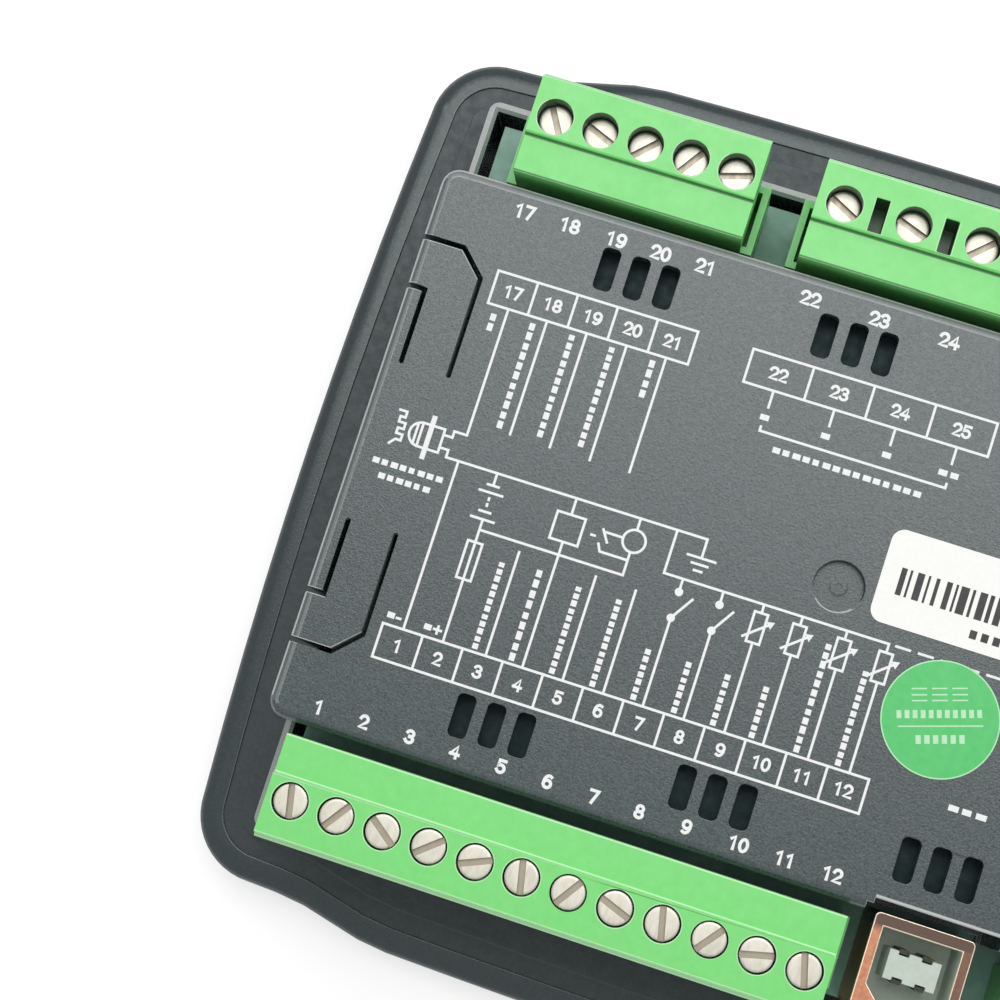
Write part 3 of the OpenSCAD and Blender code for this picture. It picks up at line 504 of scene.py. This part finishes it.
def notch_ridge():
    """The ridge as a piece of its own, all of it marked with the pale edge tone, a painted highlight."""
    bm = bmesh.new()
    ends = [[bm.verts.new((x * MM, (NOTCH_Y + y) * MM, (PLATE_Z + z) * MM)) for y, z in RIDGE] for x in NOTCH_X]
    for i in range(len(RIDGE)):
        j = (i + 1) % len(RIDGE)
        bm.faces.new((ends[0][i], ends[0][j], ends[1][j], ends[1][i]))
    for end in ends:
        bm.faces.new(end)
    bmesh.ops.recalc_face_normals(bm, faces=bm.faces)
    layer = bm.faces.layers.float.new("edge")
    for face in bm.faces:
        face[layer] = 1.0
    place(shaded(meshed(bm, "notch_ridge"), degrees=50.0), "notch_ridge", cover_finish, slot="back_cover")


softened("back_cover", cover_finish, width=0.12, slot="back_cover", also=plate_edge, shape=cover_cuts)
notch_ridge()

# Rows of clamp screws: their distance from the middle, the tops of their heads, and the foot of their shanks
ROW_Y = 38.95
UPPER_HEAD, LOWER_HEAD = 32.5, 34.2
SHANK_FOOT = 29.1
PITCH, WIDE_PITCH = 5.08, 7.62
# Middle of each row, side of the case, poles, their spacing, and the turn of each slot in degrees
SCREW_ROWS = {
    "1_12": (-19.76, -1, 12, PITCH, (102, 55, 143, 40, 23, 102, 56, 160, 103, 52, 194, 105)),
    "13_16": (40.08, -1, 4, PITCH, (30, 95, 150, 70)),
    "17_21": (-33.54, 1, 5, PITCH, (120, 158, 45, 56, 197)),
    "22_25": (0.0, 1, 4, WIDE_PITCH, (153, 160, 43, 110)),
    "26_29": (34.82, 1, 4, WIDE_PITCH, (20, 75, 135, 50)),
}
# Faces of a plug with painted shade: the walls of its screw wells, the gaps between wide poles, and the step along
# an upper row
WELL_R, WELL_FOOT = 2.0, 31.0
GAP_HALF, GAP_REACH, GAP_FOOT, GAP_TOP = 0.85, 2.4, 29.0, 34.3
STEP_Z, STEP_TURN, STEP_SHADE = (33.6, 34.3), -0.3, 0.8
# Long edges on top of a plug: least length, least share of it along the row, their top faces, and their rounding
LONG_EDGE, ALONG_ROW, TOP_FACE, LONG_WIDTH = 3.0, 0.99, 0.9, 0.22


def pole_places(block):
    """The places of a row's poles, along the row."""
    middle, _, count, pitch, _ = SCREW_ROWS[block]
    return [middle + (i - (count - 1) / 2) * pitch for i in range(count)]


def plug_wells(block):
    """A test for the faces of a plug that get painted shade."""
    _, side, _, pitch, _ = SCREW_ROWS[block]
    centres = pole_places(block)
    gaps = [c + pitch / 2 for c in centres[:-1]] if pitch == WIDE_PITCH else []

    def test(face):
        x, y, z = face.calc_center_median() / MM
        across = y - side * ROW_Y
        if abs(across) < GAP_REACH and GAP_FOOT < z < GAP_TOP and any(abs(x - c) < GAP_HALF for c in gaps):
            return 1.0
        if side > 0 and face.normal.y < STEP_TURN and STEP_Z[0] < z < STEP_Z[1] and across < -WELL_R:
            return STEP_SHADE
        if abs(face.normal.z) > LEVEL or z < WELL_FOOT:
            return 0.0
        return float(any(math.hypot(x - c, across) < WELL_R for c in centres))
    return test


def upper_step(face):
    """The step along an upper row gets no pale edge tone, so its painted shade shows."""
    _, y, z = face.calc_center_median() / MM
    return PLAIN if y > 0.0 and face.normal.y < STEP_TURN and STEP_Z[0] < z else 0.0


def plug_ridge(edge):
    """A long edge on top of a plug."""
    way = edge.verts[0].co - edge.verts[1].co
    along = abs(way.x)
    return (along > LONG_EDGE * MM and along > ALONG_ROW * way.length
            and any(f.normal.z > TOP_FACE for f in edge.link_faces))


for block in SCREW_ROWS:
    softened("plug_" + block, plug_finish, width=0.14, body="terminal_plug_" + block, slot="plug_green",
             also=upper_step, wide=(plug_ridge, LONG_WIDTH), wells=plug_wells(block))
    softened("header_" + block, header_finish, width=0.1, slot="header_green")
softened("usb_shell", socket_finish, width=0.14, slot="usb_shell")
softened("usb_insert", insert_finish, width=0.1, slot="usb_insert")


def repaint(material, *nodes):
    """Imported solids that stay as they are, in a new finish."""
    for node in nodes:
        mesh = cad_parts[node].data
        mesh.materials.clear()
        mesh.materials.append(material)


repaint(contact_finish, *("pins_" + block for block in SCREW_ROWS))
repaint(clamp_finish, *("clamps_" + block for block in SCREW_ROWS))
repaint(board_finish, "main_board", "display_board")
repaint(board_screw_finish, "main_board_screws", "display_board_screws")
repaint(black_part_finish, "board_link", "tact_switches", "output_relays", "current_sensors", "controller_chip")
repaint(can_finish, "capacitors")
repaint(socket_contact_finish, "usb_contacts")
repaint(paper_finish, "data_label")
repaint(sticker_finish, "round_sticker")
repaint(frame_finish, "display_frame")
repaint(glass_finish, "display_glass", "display_window")
repaint(lamp_finish, "status_lamps")
repaint(red_key_finish, "key_stop")
repaint(green_key_finish, "key_start")
repaint(grey_key_finish, "key_manual", "key_auto", "key_up", "key_down")


# Clamp screws, as (radius, height) from the top of the head
SCREW_HEAD = ((0.0, 0.0), (1.5, 0.0), (1.7, -0.012), (1.79, -0.05), (1.825, -0.13), (1.825, -1.0), (1.7, -1.1),
              (1.2, -1.1))
SHANK_R, TIP_R, TIP_HEIGHT = 1.2, 0.9, 0.3
SCREW_STEPS = 40
# Points on the axis closer than this are one, in metres
AXIS_WELD = 1e-7
SLOT_WIDTH, SLOT_DEPTH, SLOT_LENGTH = 0.72, 0.6, 4.4
# Depths and least area of the floor of a slot, which gets painted shade, the area in square metres
SLOT_FLOOR, SLOT_FLOOR_AREA = (0.2, SLOT_DEPTH + 0.05), 0.3 * MM * MM


def lathe(name, profile, steps):
    """A closed solid turned about Z from (radius, height) points."""
    bm = bmesh.new()
    verts = [bm.verts.new((r * MM, 0.0, z * MM)) for r, z in profile]
    edges = [bm.edges.new(pair) for pair in zip(verts, verts[1:])]
    bmesh.ops.spin(bm, geom=verts + edges, axis=(0, 0, 1), cent=(0, 0, 0), steps=steps, angle=2 * math.pi)
    bmesh.ops.remove_doubles(bm, verts=bm.verts, dist=AXIS_WELD)
    bmesh.ops.recalc_face_normals(bm, faces=bm.faces)
    return meshed(bm, name)


def screw_row_tree():
    """Slotted screws set on points, each turned by the point's own angle."""
    tree = bpy.data.node_groups.new("clamp_screw_row", "GeometryNodeTree")
    face = tree.interface
    face.new_socket("Poles", in_out="INPUT", socket_type="NodeSocketGeometry")
    face.new_socket("Screw Blank", in_out="INPUT", socket_type="NodeSocketObject")
    for name in ("Slot Width", "Slot Depth", "Slot Length"):
        face.new_socket(name, in_out="INPUT", socket_type="NodeSocketFloat")
    face.new_socket("Finish", in_out="INPUT", socket_type="NodeSocketMaterial")
    face.new_socket("Screws", in_out="OUTPUT", socket_type="NodeSocketGeometry")
    node = tree.nodes.new
    link = tree.links.new
    given = node("NodeGroupInput").outputs
    blank = node("GeometryNodeObjectInfo")
    link(given["Screw Blank"], blank.inputs["Object"])
    # The cutter stands half in the head, so it is twice as high as the slot is deep
    size = node("ShaderNodeCombineXYZ")
    link(given["Slot Length"], size.inputs["X"])
    link(given["Slot Width"], size.inputs["Y"])
    link(reckon(tree, "MULTIPLY", given["Slot Depth"], 2.0), size.inputs["Z"])
    cutter = node("GeometryNodeMeshCube")
    link(size.outputs[0], cutter.inputs["Size"])
    cut = node("GeometryNodeMeshBoolean")
    cut.operation = "DIFFERENCE"
    cut.solver = "EXACT"
    link(blank.outputs["Geometry"], cut.inputs["Mesh 1"])
    link(cutter.outputs["Mesh"], cut.inputs["Mesh 2"])
    turn = node("GeometryNodeInputNamedAttribute")
    turn.data_type = "FLOAT"
    turn.inputs["Name"].default_value = "turn"
    spin = node("ShaderNodeCombineXYZ")
    link(turn.outputs["Attribute"], spin.inputs["Z"])
    stand = node("GeometryNodeInstanceOnPoints")
    link(given["Poles"], stand.inputs["Points"])
    link(cut.outputs["Mesh"], stand.inputs["Instance"])
    link(spin.outputs[0], stand.inputs["Rotation"])
    real = node("GeometryNodeRealizeInstances")
    link(stand.outputs["Instances"], real.inputs["Geometry"])
    paint = node("GeometryNodeSetMaterial")
    link(real.outputs["Geometry"], paint.inputs["Geometry"])
    link(given["Finish"], paint.inputs["Material"])
    link(paint.outputs["Geometry"], node("NodeGroupOutput").inputs["Screws"])
    return tree


def set_inputs(modifier, values):
    """The values given to a node tree's inputs, by their names."""
    for item in modifier.node_group.interface.items_tree:
        if item.in_out == "INPUT" and item.name in values:
            modifier[item.identifier] = values[item.name]


def screw_row(block, tree):
    """The screws of one plug as one piece, with the floors of their slots marked for painted shade."""
    _, side, _, _, turns = SCREW_ROWS[block]
    top = UPPER_HEAD if side > 0 else LOWER_HEAD
    length = top - SHANK_FOOT
    shank = ((SHANK_R, TIP_HEIGHT - length), (TIP_R, -length), (0.0, -length))
    blank = linked("screw_blank", lathe("screw_blank", SCREW_HEAD + shank, SCREW_STEPS))
    points = bpy.data.meshes.new("poles_" + block)
    points.from_pydata([(x * MM, side * ROW_Y * MM, top * MM) for x in pole_places(block)], [], [])
    angle = points.attributes.new("turn", "FLOAT", "POINT")
    flip = 0.0 if side > 0 else math.pi
    for i, degrees in enumerate(turns):
        angle.data[i].value = math.radians(degrees) + flip
    row = linked("poles_" + block, points)
    modifier = row.modifiers.new("screws", "NODES")
    modifier.node_group = tree
    set_inputs(modifier, {"Screw Blank": blank, "Slot Width": SLOT_WIDTH * MM, "Slot Depth": SLOT_DEPTH * MM,
                          "Slot Length": SLOT_LENGTH * MM, "Finish": screw_finish})
    mesh = settled(row)
    bpy.data.objects.remove(blank)
    slot = mesh.attributes.new("slot", "FLOAT", "FACE")
    for polygon in mesh.polygons:
        sunk = SLOT_FLOOR[0] < top - polygon.center.z / MM < SLOT_FLOOR[1]
        slot.data[polygon.index].value = float(sunk and polygon.area > SLOT_FLOOR_AREA)
    place(shaded(mesh, degrees=40.0), "clamp_screws_" + block, screw_finish, "terminal_plug_" + block,
          "clamp_screw", "screws_" + block)


screw_tree = screw_row_tree()
for block in SCREW_ROWS:
    screw_row(block, screw_tree)


# Print: width of a stroke, how far ink reaches into the surface and over it, and the steps between the levels
# of strokes that cross
STROKE = 0.27
INK_SINK, INK_RISE, LABEL_INK_RISE = 0.02, 0.015, 0.01
INK_STEP, INK_LEVELS = 0.0012, 18
# A stroke whose ends are closer than this is closed, and the limit that keeps a mitre from running far out
CLOSED, MITRE_LIMIT = 1e-6, 0.35
DOT_R = 0.45
# Widths of the short dashes of a row, as shares of their places, and their height
DASH_SHARES = (0.74, 0.66, 0.78, 0.70, 0.60, 0.76, 0.70)
DASH_HEIGHT = 0.62
marks = []


def line(*points, width=STROKE):
    """One stroke through the points, mitred at its corners, with square ends where it is open."""
    points = list(points)
    closed = math.dist(points[0], points[-1]) < CLOSED
    if closed:
        points.pop()
    count = len(points)
    legs = []
    for i in range(count if closed else count - 1):
        (x0, y0), (x1, y1) = points[i], points[(i + 1) % count]
        length = math.hypot(x1 - x0, y1 - y0)
        legs.append(((x1 - x0) / length, (y1 - y0) / length))
    half = width / 2
    left, right = [], []
    for i, (x, y) in enumerate(points):
        before = legs[i - 1] if closed or i else legs[0]
        after = legs[i] if i < len(legs) else legs[-1]
        if not closed and i in (0, count - 1):
            push = -half if i == 0 else half
            x, y = x + after[0] * push, y + after[1] * push
        reach = half / max(MITRE_LIMIT, (1 + before[0] * after[0] + before[1] * after[1]) / 2)
        ox, oy = -(before[1] + after[1]) / 2 * reach, (before[0] + after[0]) / 2 * reach
        left.append((x + ox, y + oy))
        right.append((x - ox, y - oy))
    marks.append((left, right, closed))


def filled(corners):
    """A filled shape for the print."""
    return list(corners), None, True


def rectangle(x0, y0, x1, y1):
    return (x0, y0), (x1, y0), (x1, y1), (x0, y1)


def box(x0, y0, x1, y1):
    corners = rectangle(x0, y0, x1, y1)
    line(*corners, corners[0])


def bow(cx, cy, rx, ry, start=0, stop=360, steps=16):
    """Points on an elliptical arc, its angles in degrees."""
    turns = [math.radians(start + (stop - start) * i / steps) for i in range(steps + 1)]
    return [(cx + rx * math.cos(a), cy + ry * math.sin(a)) for a in turns]


def dot(x, y):
    marks.append(filled(bow(x, y, DOT_R, DOT_R)[:-1]))


def dash_row(x, y, length, count, upright=False):
    """A row of short dashes; x, y is the middle of its start."""
    step = length / count
    for i in range(count):
        start, end = i * step, (i + DASH_SHARES[i % len(DASH_SHARES)]) * step
        corners = rectangle(start, -DASH_HEIGHT / 2, end, DASH_HEIGHT / 2)
        marks.append(filled((x - v, y + u) if upright else (x + u, y + v) for u, v in corners))


# Strokes of the digits, one unit high, with their width and the step from one to the next
DIGIT_WIDTH, DIGIT_STEP = 0.62, 0.86
DIGITS = {
    "0": [bow(0.31, 0.5, 0.31, 0.5, steps=20)],
    "1": [[(0.10, 0.80), (0.36, 1.0), (0.36, 0.0)]],
    "2": [bow(0.31, 0.70, 0.31, 0.30, 170, -35, 9) + [(0.0, 0.0), (0.62, 0.0)]],
    "3": [bow(0.30, 0.755, 0.28, 0.245, 160, -90, 10), bow(0.30, 0.265, 0.32, 0.265, 90, -160, 10)],
    "4": [[(0.48, 0.0), (0.48, 1.0), (0.0, 0.28)], [(0.0, 0.28), (0.66, 0.28)]],
    "5": [[(0.58, 1.0), (0.08, 1.0), (0.03, 0.52)] + bow(0.29, 0.32, 0.32, 0.32, 120, -155, 10)],
    "6": [bow(0.31, 0.31, 0.31, 0.31), [(0.0, 0.31)] + bow(0.36, 0.48, 0.36, 0.52, 175, 62, 7)],
    "7": [[(0.0, 1.0), (0.62, 1.0), (0.24, 0.0)]],
    "8": [bow(0.31, 0.745, 0.26, 0.255), bow(0.31, 0.26, 0.31, 0.26)],
    "9": [bow(0.31, 0.69, 0.31, 0.31), [(0.62, 0.69)] + bow(0.26, 0.52, 0.36, 0.52, -5, -118, 7)],
}


def digits(value, x, y, height, weight):
    """A plain number centred on x, y."""
    text = str(value)
    tall = height - weight
    left = x - (DIGIT_STEP * (len(text) - 1) + DIGIT_WIDTH) * tall / 2
    for i, character in enumerate(text):
        for stroke in DIGITS[character]:
            line(*[(left + (DIGIT_STEP * i + u) * tall, y + (v - 0.5) * tall) for u, v in stroke], width=weight)


# Frames of numbers along the two bays: their lower and upper lines, the widths of their cells, their digits
UPPER, LOWER = (17.75, 21.45), (-21.95, -18.25)
UPPER_FOOT, LOWER_TOP = UPPER[0], LOWER[1]
UPPER_CELL, WIDE_CELL, LOWER_CELL = 4.47, 6.69, 4.44
FRAME_DIGIT, FRAME_WEIGHT = 1.5, 0.3
# Numbers beside the plugs: their places along the rows, their heights on the plate, their digits
UPPER_X = (-43.8, -38.7, -33.5, -28.5, -23.5, -11.85, -4.25, 3.4, 11.0, 22.97, 30.59, 38.21, 45.83)
LOWER_X = (-48.1, -43.1, -38.0, -33.0, -27.9, -22.8, -17.75, -12.75, -7.65, -2.0, 3.0, 8.1, 32.3, 37.4, 42.4, 47.5)
UPPER_Y, UPPER_DIGIT = 28.4, 1.65
LOWER_Y, LOWER_DIGIT = -28.75, 1.6
ROW_WEIGHT = 0.34
# Heights of the common line, the line of the inputs, and the starts of the upright rows of dashes under them
COMMON_Y, INPUT_Y, DASH_Y = 0.55, -4.2, -17.9


def number_frame(x0, y0, y1, cell, first, count):
    """A row of numbered cells."""
    box(x0, y0, x0 + cell * count, y1)
    for i in range(1, count):
        line((x0 + i * cell, y0), (x0 + i * cell, y1))
    for i in range(count):
        digits(first + i, x0 + (i + 0.5) * cell, (y0 + y1) / 2, FRAME_DIGIT, FRAME_WEIGHT)


number_frame(-44.5, *UPPER, UPPER_CELL, 17, 5)
number_frame(-16.0, *UPPER, WIDE_CELL, 22, 4)
number_frame(16.2, *UPPER, WIDE_CELL, 26, 4)
number_frame(-44.45, *LOWER, LOWER_CELL, 1, 12)
number_frame(27.0, *LOWER, LOWER_CELL, 13, 4)
for number, x in enumerate(UPPER_X, 17):
    digits(number, x, UPPER_Y, UPPER_DIGIT, ROW_WEIGHT)
for number, x in enumerate(LOWER_X, 1):
    digits(number, x, LOWER_Y, LOWER_DIGIT, ROW_WEIGHT)

# Leads of 17 to 21
line((-42.2, UPPER_FOOT), (-42.2, 3.45), (-43.6, 3.45), (-43.6, 2.75), (-44.45, 2.75))
for x, y in ((-37.85, 4.95), (-33.4, 4.9), (-28.95, 4.85), (-24.55, 4.9)):
    line((x, UPPER_FOOT), (x, y))
for x, y, length, count in ((-43.5, 14.9, 2.3, 2), (-39.2, 5.2, 12.2, 11), (-34.8, 5.6, 11.9, 12),
                            (-30.35, 5.9, 11.6, 12), (-25.8, 12.9, 4.5, 4)):
    dash_row(x, y, length, count, upright=True)
# Leads of 22 to 25, and of 26 to 29 alike
for shift in (0.0, 32.2):
    for i, count in enumerate((1, 1, 1, 2)):
        x = -12.65 + WIDE_CELL * i + shift
        line((x, UPPER_FOOT), (x, 15.9))
        dash_row(x - 0.55 * count, 14.75, 1.3 * count, count)
    line((-12.8 + shift, 13.7), (-12.8 + shift, 13.25), (7.5 + shift, 13.25), (7.5 + shift, 13.7))
    dash_row(-10.9 + shift, 11.75, 16.5, 15)

# Pickup: toothed wheel, sensor nose and flange
line((-43.6, COMMON_Y), (-43.6, 1.35), (-44.45, 1.35))
box(-47.0, 0.75, -44.6, 3.35)
line(*bow(-46.9, 2.05, 1.3, 1.3, 90, 270, 14))
line((-46.05, -0.15), (-46.05, 4.15), width=0.55)
line((-47.5, 0.95), (-47.5, 3.15))
line((-49.85, 3.95), (-49.05, 3.95), (-49.05, 3.3), (-49.6, 3.3), (-49.6, 2.7), (-48.85, 2.7), (-48.85, 2.05),
     (-49.5, 2.05), (-49.5, 1.45), (-48.8, 1.45), (-48.8, 0.8), (-49.4, 0.8), (-49.9, 0.2))
dash_row(-51.0, -1.95, 8.1, 8)
dash_row(-49.9, -3.4, 6.0, 6)

# Common line, battery and fuse of 1 and 2
line((-43.6, COMMON_Y), (-14.55, COMMON_Y), (-14.55, -1.5))
line((-42.2, COMMON_Y), (-42.2, LOWER_TOP))
line((-37.85, COMMON_Y), (-37.85, -0.85))
for y, half in ((-0.85, 0.6), (-1.65, 1.25), (-3.75, 0.6), (-4.6, 1.25)):
    line((-37.85 - half, y), (-37.85 + half, y))
for y in (-2.35, -3.0):
    line((-37.85, y - 0.08), (-37.85, y + 0.08))
line((-37.8, -4.6), (-37.8, -7.15))
box(-38.6, -11.25, -37.0, -7.15)
line((-37.8, -7.15), (-37.8, LOWER_TOP))
dash_row(-44.3, -17.2, 1.1, 1)
line((-43.2, -17.3), (-42.85, -17.3))
dash_row(-40.2, -17.2, 1.1, 1)
line((-39.1, -17.2), (-38.35, -17.2))
line((-38.72, -16.82), (-38.72, -17.58))

# Starter relay, switch and motor
line((-37.8, -5.75), (-21.9, -5.75), (-21.9, -3.2))
box(-30.5, -4.3, -27.4, -1.3)
line((-29.0, COMMON_Y), (-29.0, -1.3))
line((-29.0, -4.3), (-29.0, LOWER_TOP))
line(*bow(-21.85, -1.98, 1.22, 1.22, steps=28))
line((-21.9, COMMON_Y), (-21.9, -0.75))
line((-26.35, -2.65), (-26.0, -2.65))
line((-25.3, -1.75), (-24.55, -2.95))
line((-24.9, -1.95), (-23.05, -1.95))
line((-25.35, -3.35), (-25.0, -4.1), (-21.9, -4.1))
for x, y in ((-33.05, -6.75), (-24.55, -6.75), (-20.1, -6.9)):
    line((x, y), (x, LOWER_TOP))
for x, length, count in ((-34.4, 9.9, 12), (-30.35, 10.4, 9), (-25.9, 9.9, 12), (-21.45, 9.9, 12)):
    dash_row(x, DASH_Y, length, count, upright=True)

# Line of the inputs, and the earth sign
line((-17.85, COMMON_Y), (-17.85, INPUT_Y), (6.7, INPUT_Y), (6.7, -5.1))
for half, y in ((1.5, -1.55), (0.85, -2.25), (0.4, -2.95)):
    line((-14.55 - half, y), (-14.55 + half, y))


def input_switch(x):
    """Lead of an input with a switch."""
    line((x, INPUT_Y), (x, -5.6))
    dot(x, -5.65)
    line((x, -8.5), (x + 1.6, -6.0))
    dot(x, -8.5)
    line((x, -8.5), (x, LOWER_TOP))
    dash_row(x - 1.2, DASH_Y, 5.8, 7, upright=True)


def input_resistor(x, length, count):
    """Lead of an input with a variable resistor."""
    line((x, INPUT_Y), (x, -5.15))
    box(x - 0.72, -8.4, x + 0.72, -5.15)
    line((x - 1.2, -8.0), (x + 1.25, -6.0))
    marks.append(filled(((x + 1.65, -5.7), (x + 0.75, -5.85), (x + 1.35, -6.55))))
    line((x, -8.4), (x, LOWER_TOP))
    dash_row(x - 1.4, DASH_Y, length, count, upright=True)


for x in (-15.75, -11.3):
    input_switch(x)
for x, length, count in ((-6.85, 5.8, 7), (-2.65, 5.8, 7), (2.2, 12.2, 12), (6.7, 10.6, 12)):
    input_resistor(x, length, count)
for i in range(8):
    line((7.5 + 2.45 * i, INPUT_Y), (8.95 + 2.45 * i, INPUT_Y))
line((26.9, INPUT_Y), (42.6, INPUT_Y))
for i in range(4):
    input_switch(29.25 + LOWER_CELL * i)
dash_row(17.4, -18.45, 4.4, 3)


def inked(name, shapes, top, material, slot, rise):
    """Flat ink: thin closed slabs just proud of the surface under them, each a hair higher than the last."""
    bm = bmesh.new()

    def level(points, z):
        return [bm.verts.new((x * MM, y * MM, z * MM)) for x, y in points]

    def wall(low, high, closed):
        for i in range(len(low) if closed else len(low) - 1):
            j = (i + 1) % len(low)
            bm.faces.new((low[i], low[j], high[j], high[i]))

    for index, (left, right, closed) in enumerate(shapes):
        low_z = top - INK_SINK
        high_z = top + rise + INK_STEP * (index % INK_LEVELS)
        low, high = level(left, low_z), level(left, high_z)
        wall(low, high, closed)
        if right is None:
            bm.faces.new(high)
            bm.faces.new(low[::-1])
            continue
        low_right, high_right = level(right, low_z), level(right, high_z)
        wall(high_right, low_right, closed)
        wall(high, high_right, closed)
        wall(low_right, low, closed)
        if not closed:
            bm.faces.new((low[0], high[0], high_right[0], low_right[0]))
            bm.faces.new((low[-1], low_right[-1], high_right[-1], high[-1]))
    bmesh.ops.recalc_face_normals(bm, faces=bm.faces)
    place(meshed(bm, name), name, material, "housing", slot)


inked("plate_print", marks, PLATE_Z, print_finish, "data_label", INK_RISE)

# Bars on the white label: how many, their start, foot and top, their widths and gaps
BAR_COUNT, BAR_START, BAR_FOOT, BAR_TOP = 30, 5.7, 0.95, 3.9
BAR_WIDTHS = (0.6, 0.25, 0.75, 0.25, 0.4, 0.6, 0.25, 0.9, 0.3, 0.8, 0.45, 0.7, 0.25, 0.5, 0.9, 0.3, 0.6, 0.25,
              0.75, 0.4)
BAR_GAPS = (0.35, 0.55, 0.4, 0.6, 0.75, 0.4, 0.3, 0.35, 0.5, 0.3, 0.4, 0.35, 0.6, 0.45)
# Dashes under them: how many, their start, step and width, their foot and top
LABEL_DASHES, LABEL_DASH_X, LABEL_DASH_STEP, LABEL_DASH_WIDTH = 8, 14.3, 1.25, 0.75
LABEL_DASH_Y = (-1.1, -0.2)
bars = []
start = BAR_START
for i in range(BAR_COUNT):
    width = BAR_WIDTHS[i % len(BAR_WIDTHS)]
    bars.append(filled(rectangle(start, BAR_FOOT, start + width, BAR_TOP)))
    start += width + BAR_GAPS[i % len(BAR_GAPS)]
for i in range(LABEL_DASHES):
    start = LABEL_DASH_X + LABEL_DASH_STEP * i
    bars.append(filled(rectangle(start, LABEL_DASH_Y[0], start + LABEL_DASH_WIDTH, LABEL_DASH_Y[1])))
inked("label_print", bars, LABEL_TOP, ink_finish, "part_black", LABEL_INK_RISE)

# Pale rim, line and dashes on the round sticker, which is turned a little on the plate
STICKER, STICKER_R = (14.0, -10.1), 6.18
STICKER_TURN = math.radians(18.0)
RIM_WIDTH, RIM_STEPS = 0.13, 64


def sticker_box(x0, y0, x1, y1):
    """A filled box on the sticker, from its middle."""
    c, s = math.cos(STICKER_TURN), math.sin(STICKER_TURN)
    return filled((STICKER[0] + x * c - y * s, STICKER[1] + x * s + y * c) for x, y in rectangle(x0, y0, x1, y1))


inner, outer = (bow(*STICKER, r, r, steps=RIM_STEPS)[:-1] for r in (STICKER_R - RIM_WIDTH, STICKER_R))
sticker_marks = [sticker_box(-4.4, -0.75, 4.4, -0.6), (inner, outer, True)]
for i in range(3):
    for y in (1.9, 3.15, 2.5):
        sticker_marks.append(sticker_box(-2.9 + 2.1 * i, y, -1.3 + 2.1 * i, y + 0.15))
for i in range(11):
    sticker_marks.append(sticker_box(-4.5 + 0.83 * i, 0.15, -4.0 + 0.83 * i, 1.0))
for i in range(6):
    sticker_marks.append(sticker_box(-2.6 + 0.9 * i, -2.5, -2.05 + 0.9 * i, -1.6))
inked("sticker_marks", sticker_marks, LABEL_TOP, sticker_print_finish, "round_sticker", LABEL_INK_RISE)


# Stage, in metres and watts: a pale floor just under the part, a white sky and two lamps
WHITE = (1.0, 1.0, 1.0, 1.0)
FLOOR_HALF, FLOOR_DROP = 3.0, 0.0002
FLOOR_TONE = (0.5, 0.5, 0.5, 1.0)
FLOOR_LIFT = 0.61
SKY_FILL = 0.54


def seen_ray(tree):
    """1 for rays that see the background, 0 for rays that light the part."""
    path = tree.nodes.new("ShaderNodeLightPath")
    seen = path.outputs["Is Camera Ray"]
    for other in ("Is Glossy Ray", "Is Transmission Ray"):
        seen = reckon(tree, "MAXIMUM", seen, path.outputs[other])
    return seen


floor_mesh = bpy.data.meshes.new("floor")
floor_corners = rectangle(-FLOOR_HALF, -FLOOR_HALF, FLOOR_HALF, FLOOR_HALF)
floor_mesh.from_pydata([(x, y, 0.0) for x, y in floor_corners], [], [(0, 1, 2, 3)])
floor = linked("floor", floor_mesh)
floor.location = (0, 0, -FLOOR_DROP)
floor_finish, tree, shader = finish("floor_white", rough=0.9, specular=0.0)
shader.inputs["Base Color"].default_value = FLOOR_TONE
shader.inputs["Emission Color"].default_value = WHITE
tree.links.new(reckon(tree, "MULTIPLY", seen_ray(tree), FLOOR_LIFT), shader.inputs["Emission Strength"])
floor_mesh.materials.append(floor_finish)

world = bpy.data.worlds.new("studio")
bpy.context.scene.world = world
world.use_nodes = True
tree = world.node_tree
sky = tree.nodes["Background"]
sky.inputs["Color"].default_value = WHITE
tree.links.new(between(tree, seen_ray(tree), SKY_FILL, 1.0, 0.0, 1.0), sky.inputs["Strength"])


def softbox(name, location, aim, width, height, watts):
    """A lamp with an even face, turned towards a point."""
    data = bpy.data.lights.new(name, "AREA")
    data.shape = "RECTANGLE"
    data.size = width
    data.size_y = height
    data.energy = watts
    lamp = linked(name, data)
    lamp.location = location
    lamp.rotation_euler = (Vector(aim) - Vector(location)).to_track_quat("-Z", "Y").to_euler()
    return lamp


softbox("softbox_top", (-0.02, 0.26, 0.787), (-0.02, 0.0, 0.03), width=0.68, height=0.37, watts=2.9)
fill = softbox("fill_front", (-0.011, -0.029, 0.40), (-0.011, -0.029, 0.0), width=0.10, height=0.10, watts=0.16)
fill.visible_glossy = False
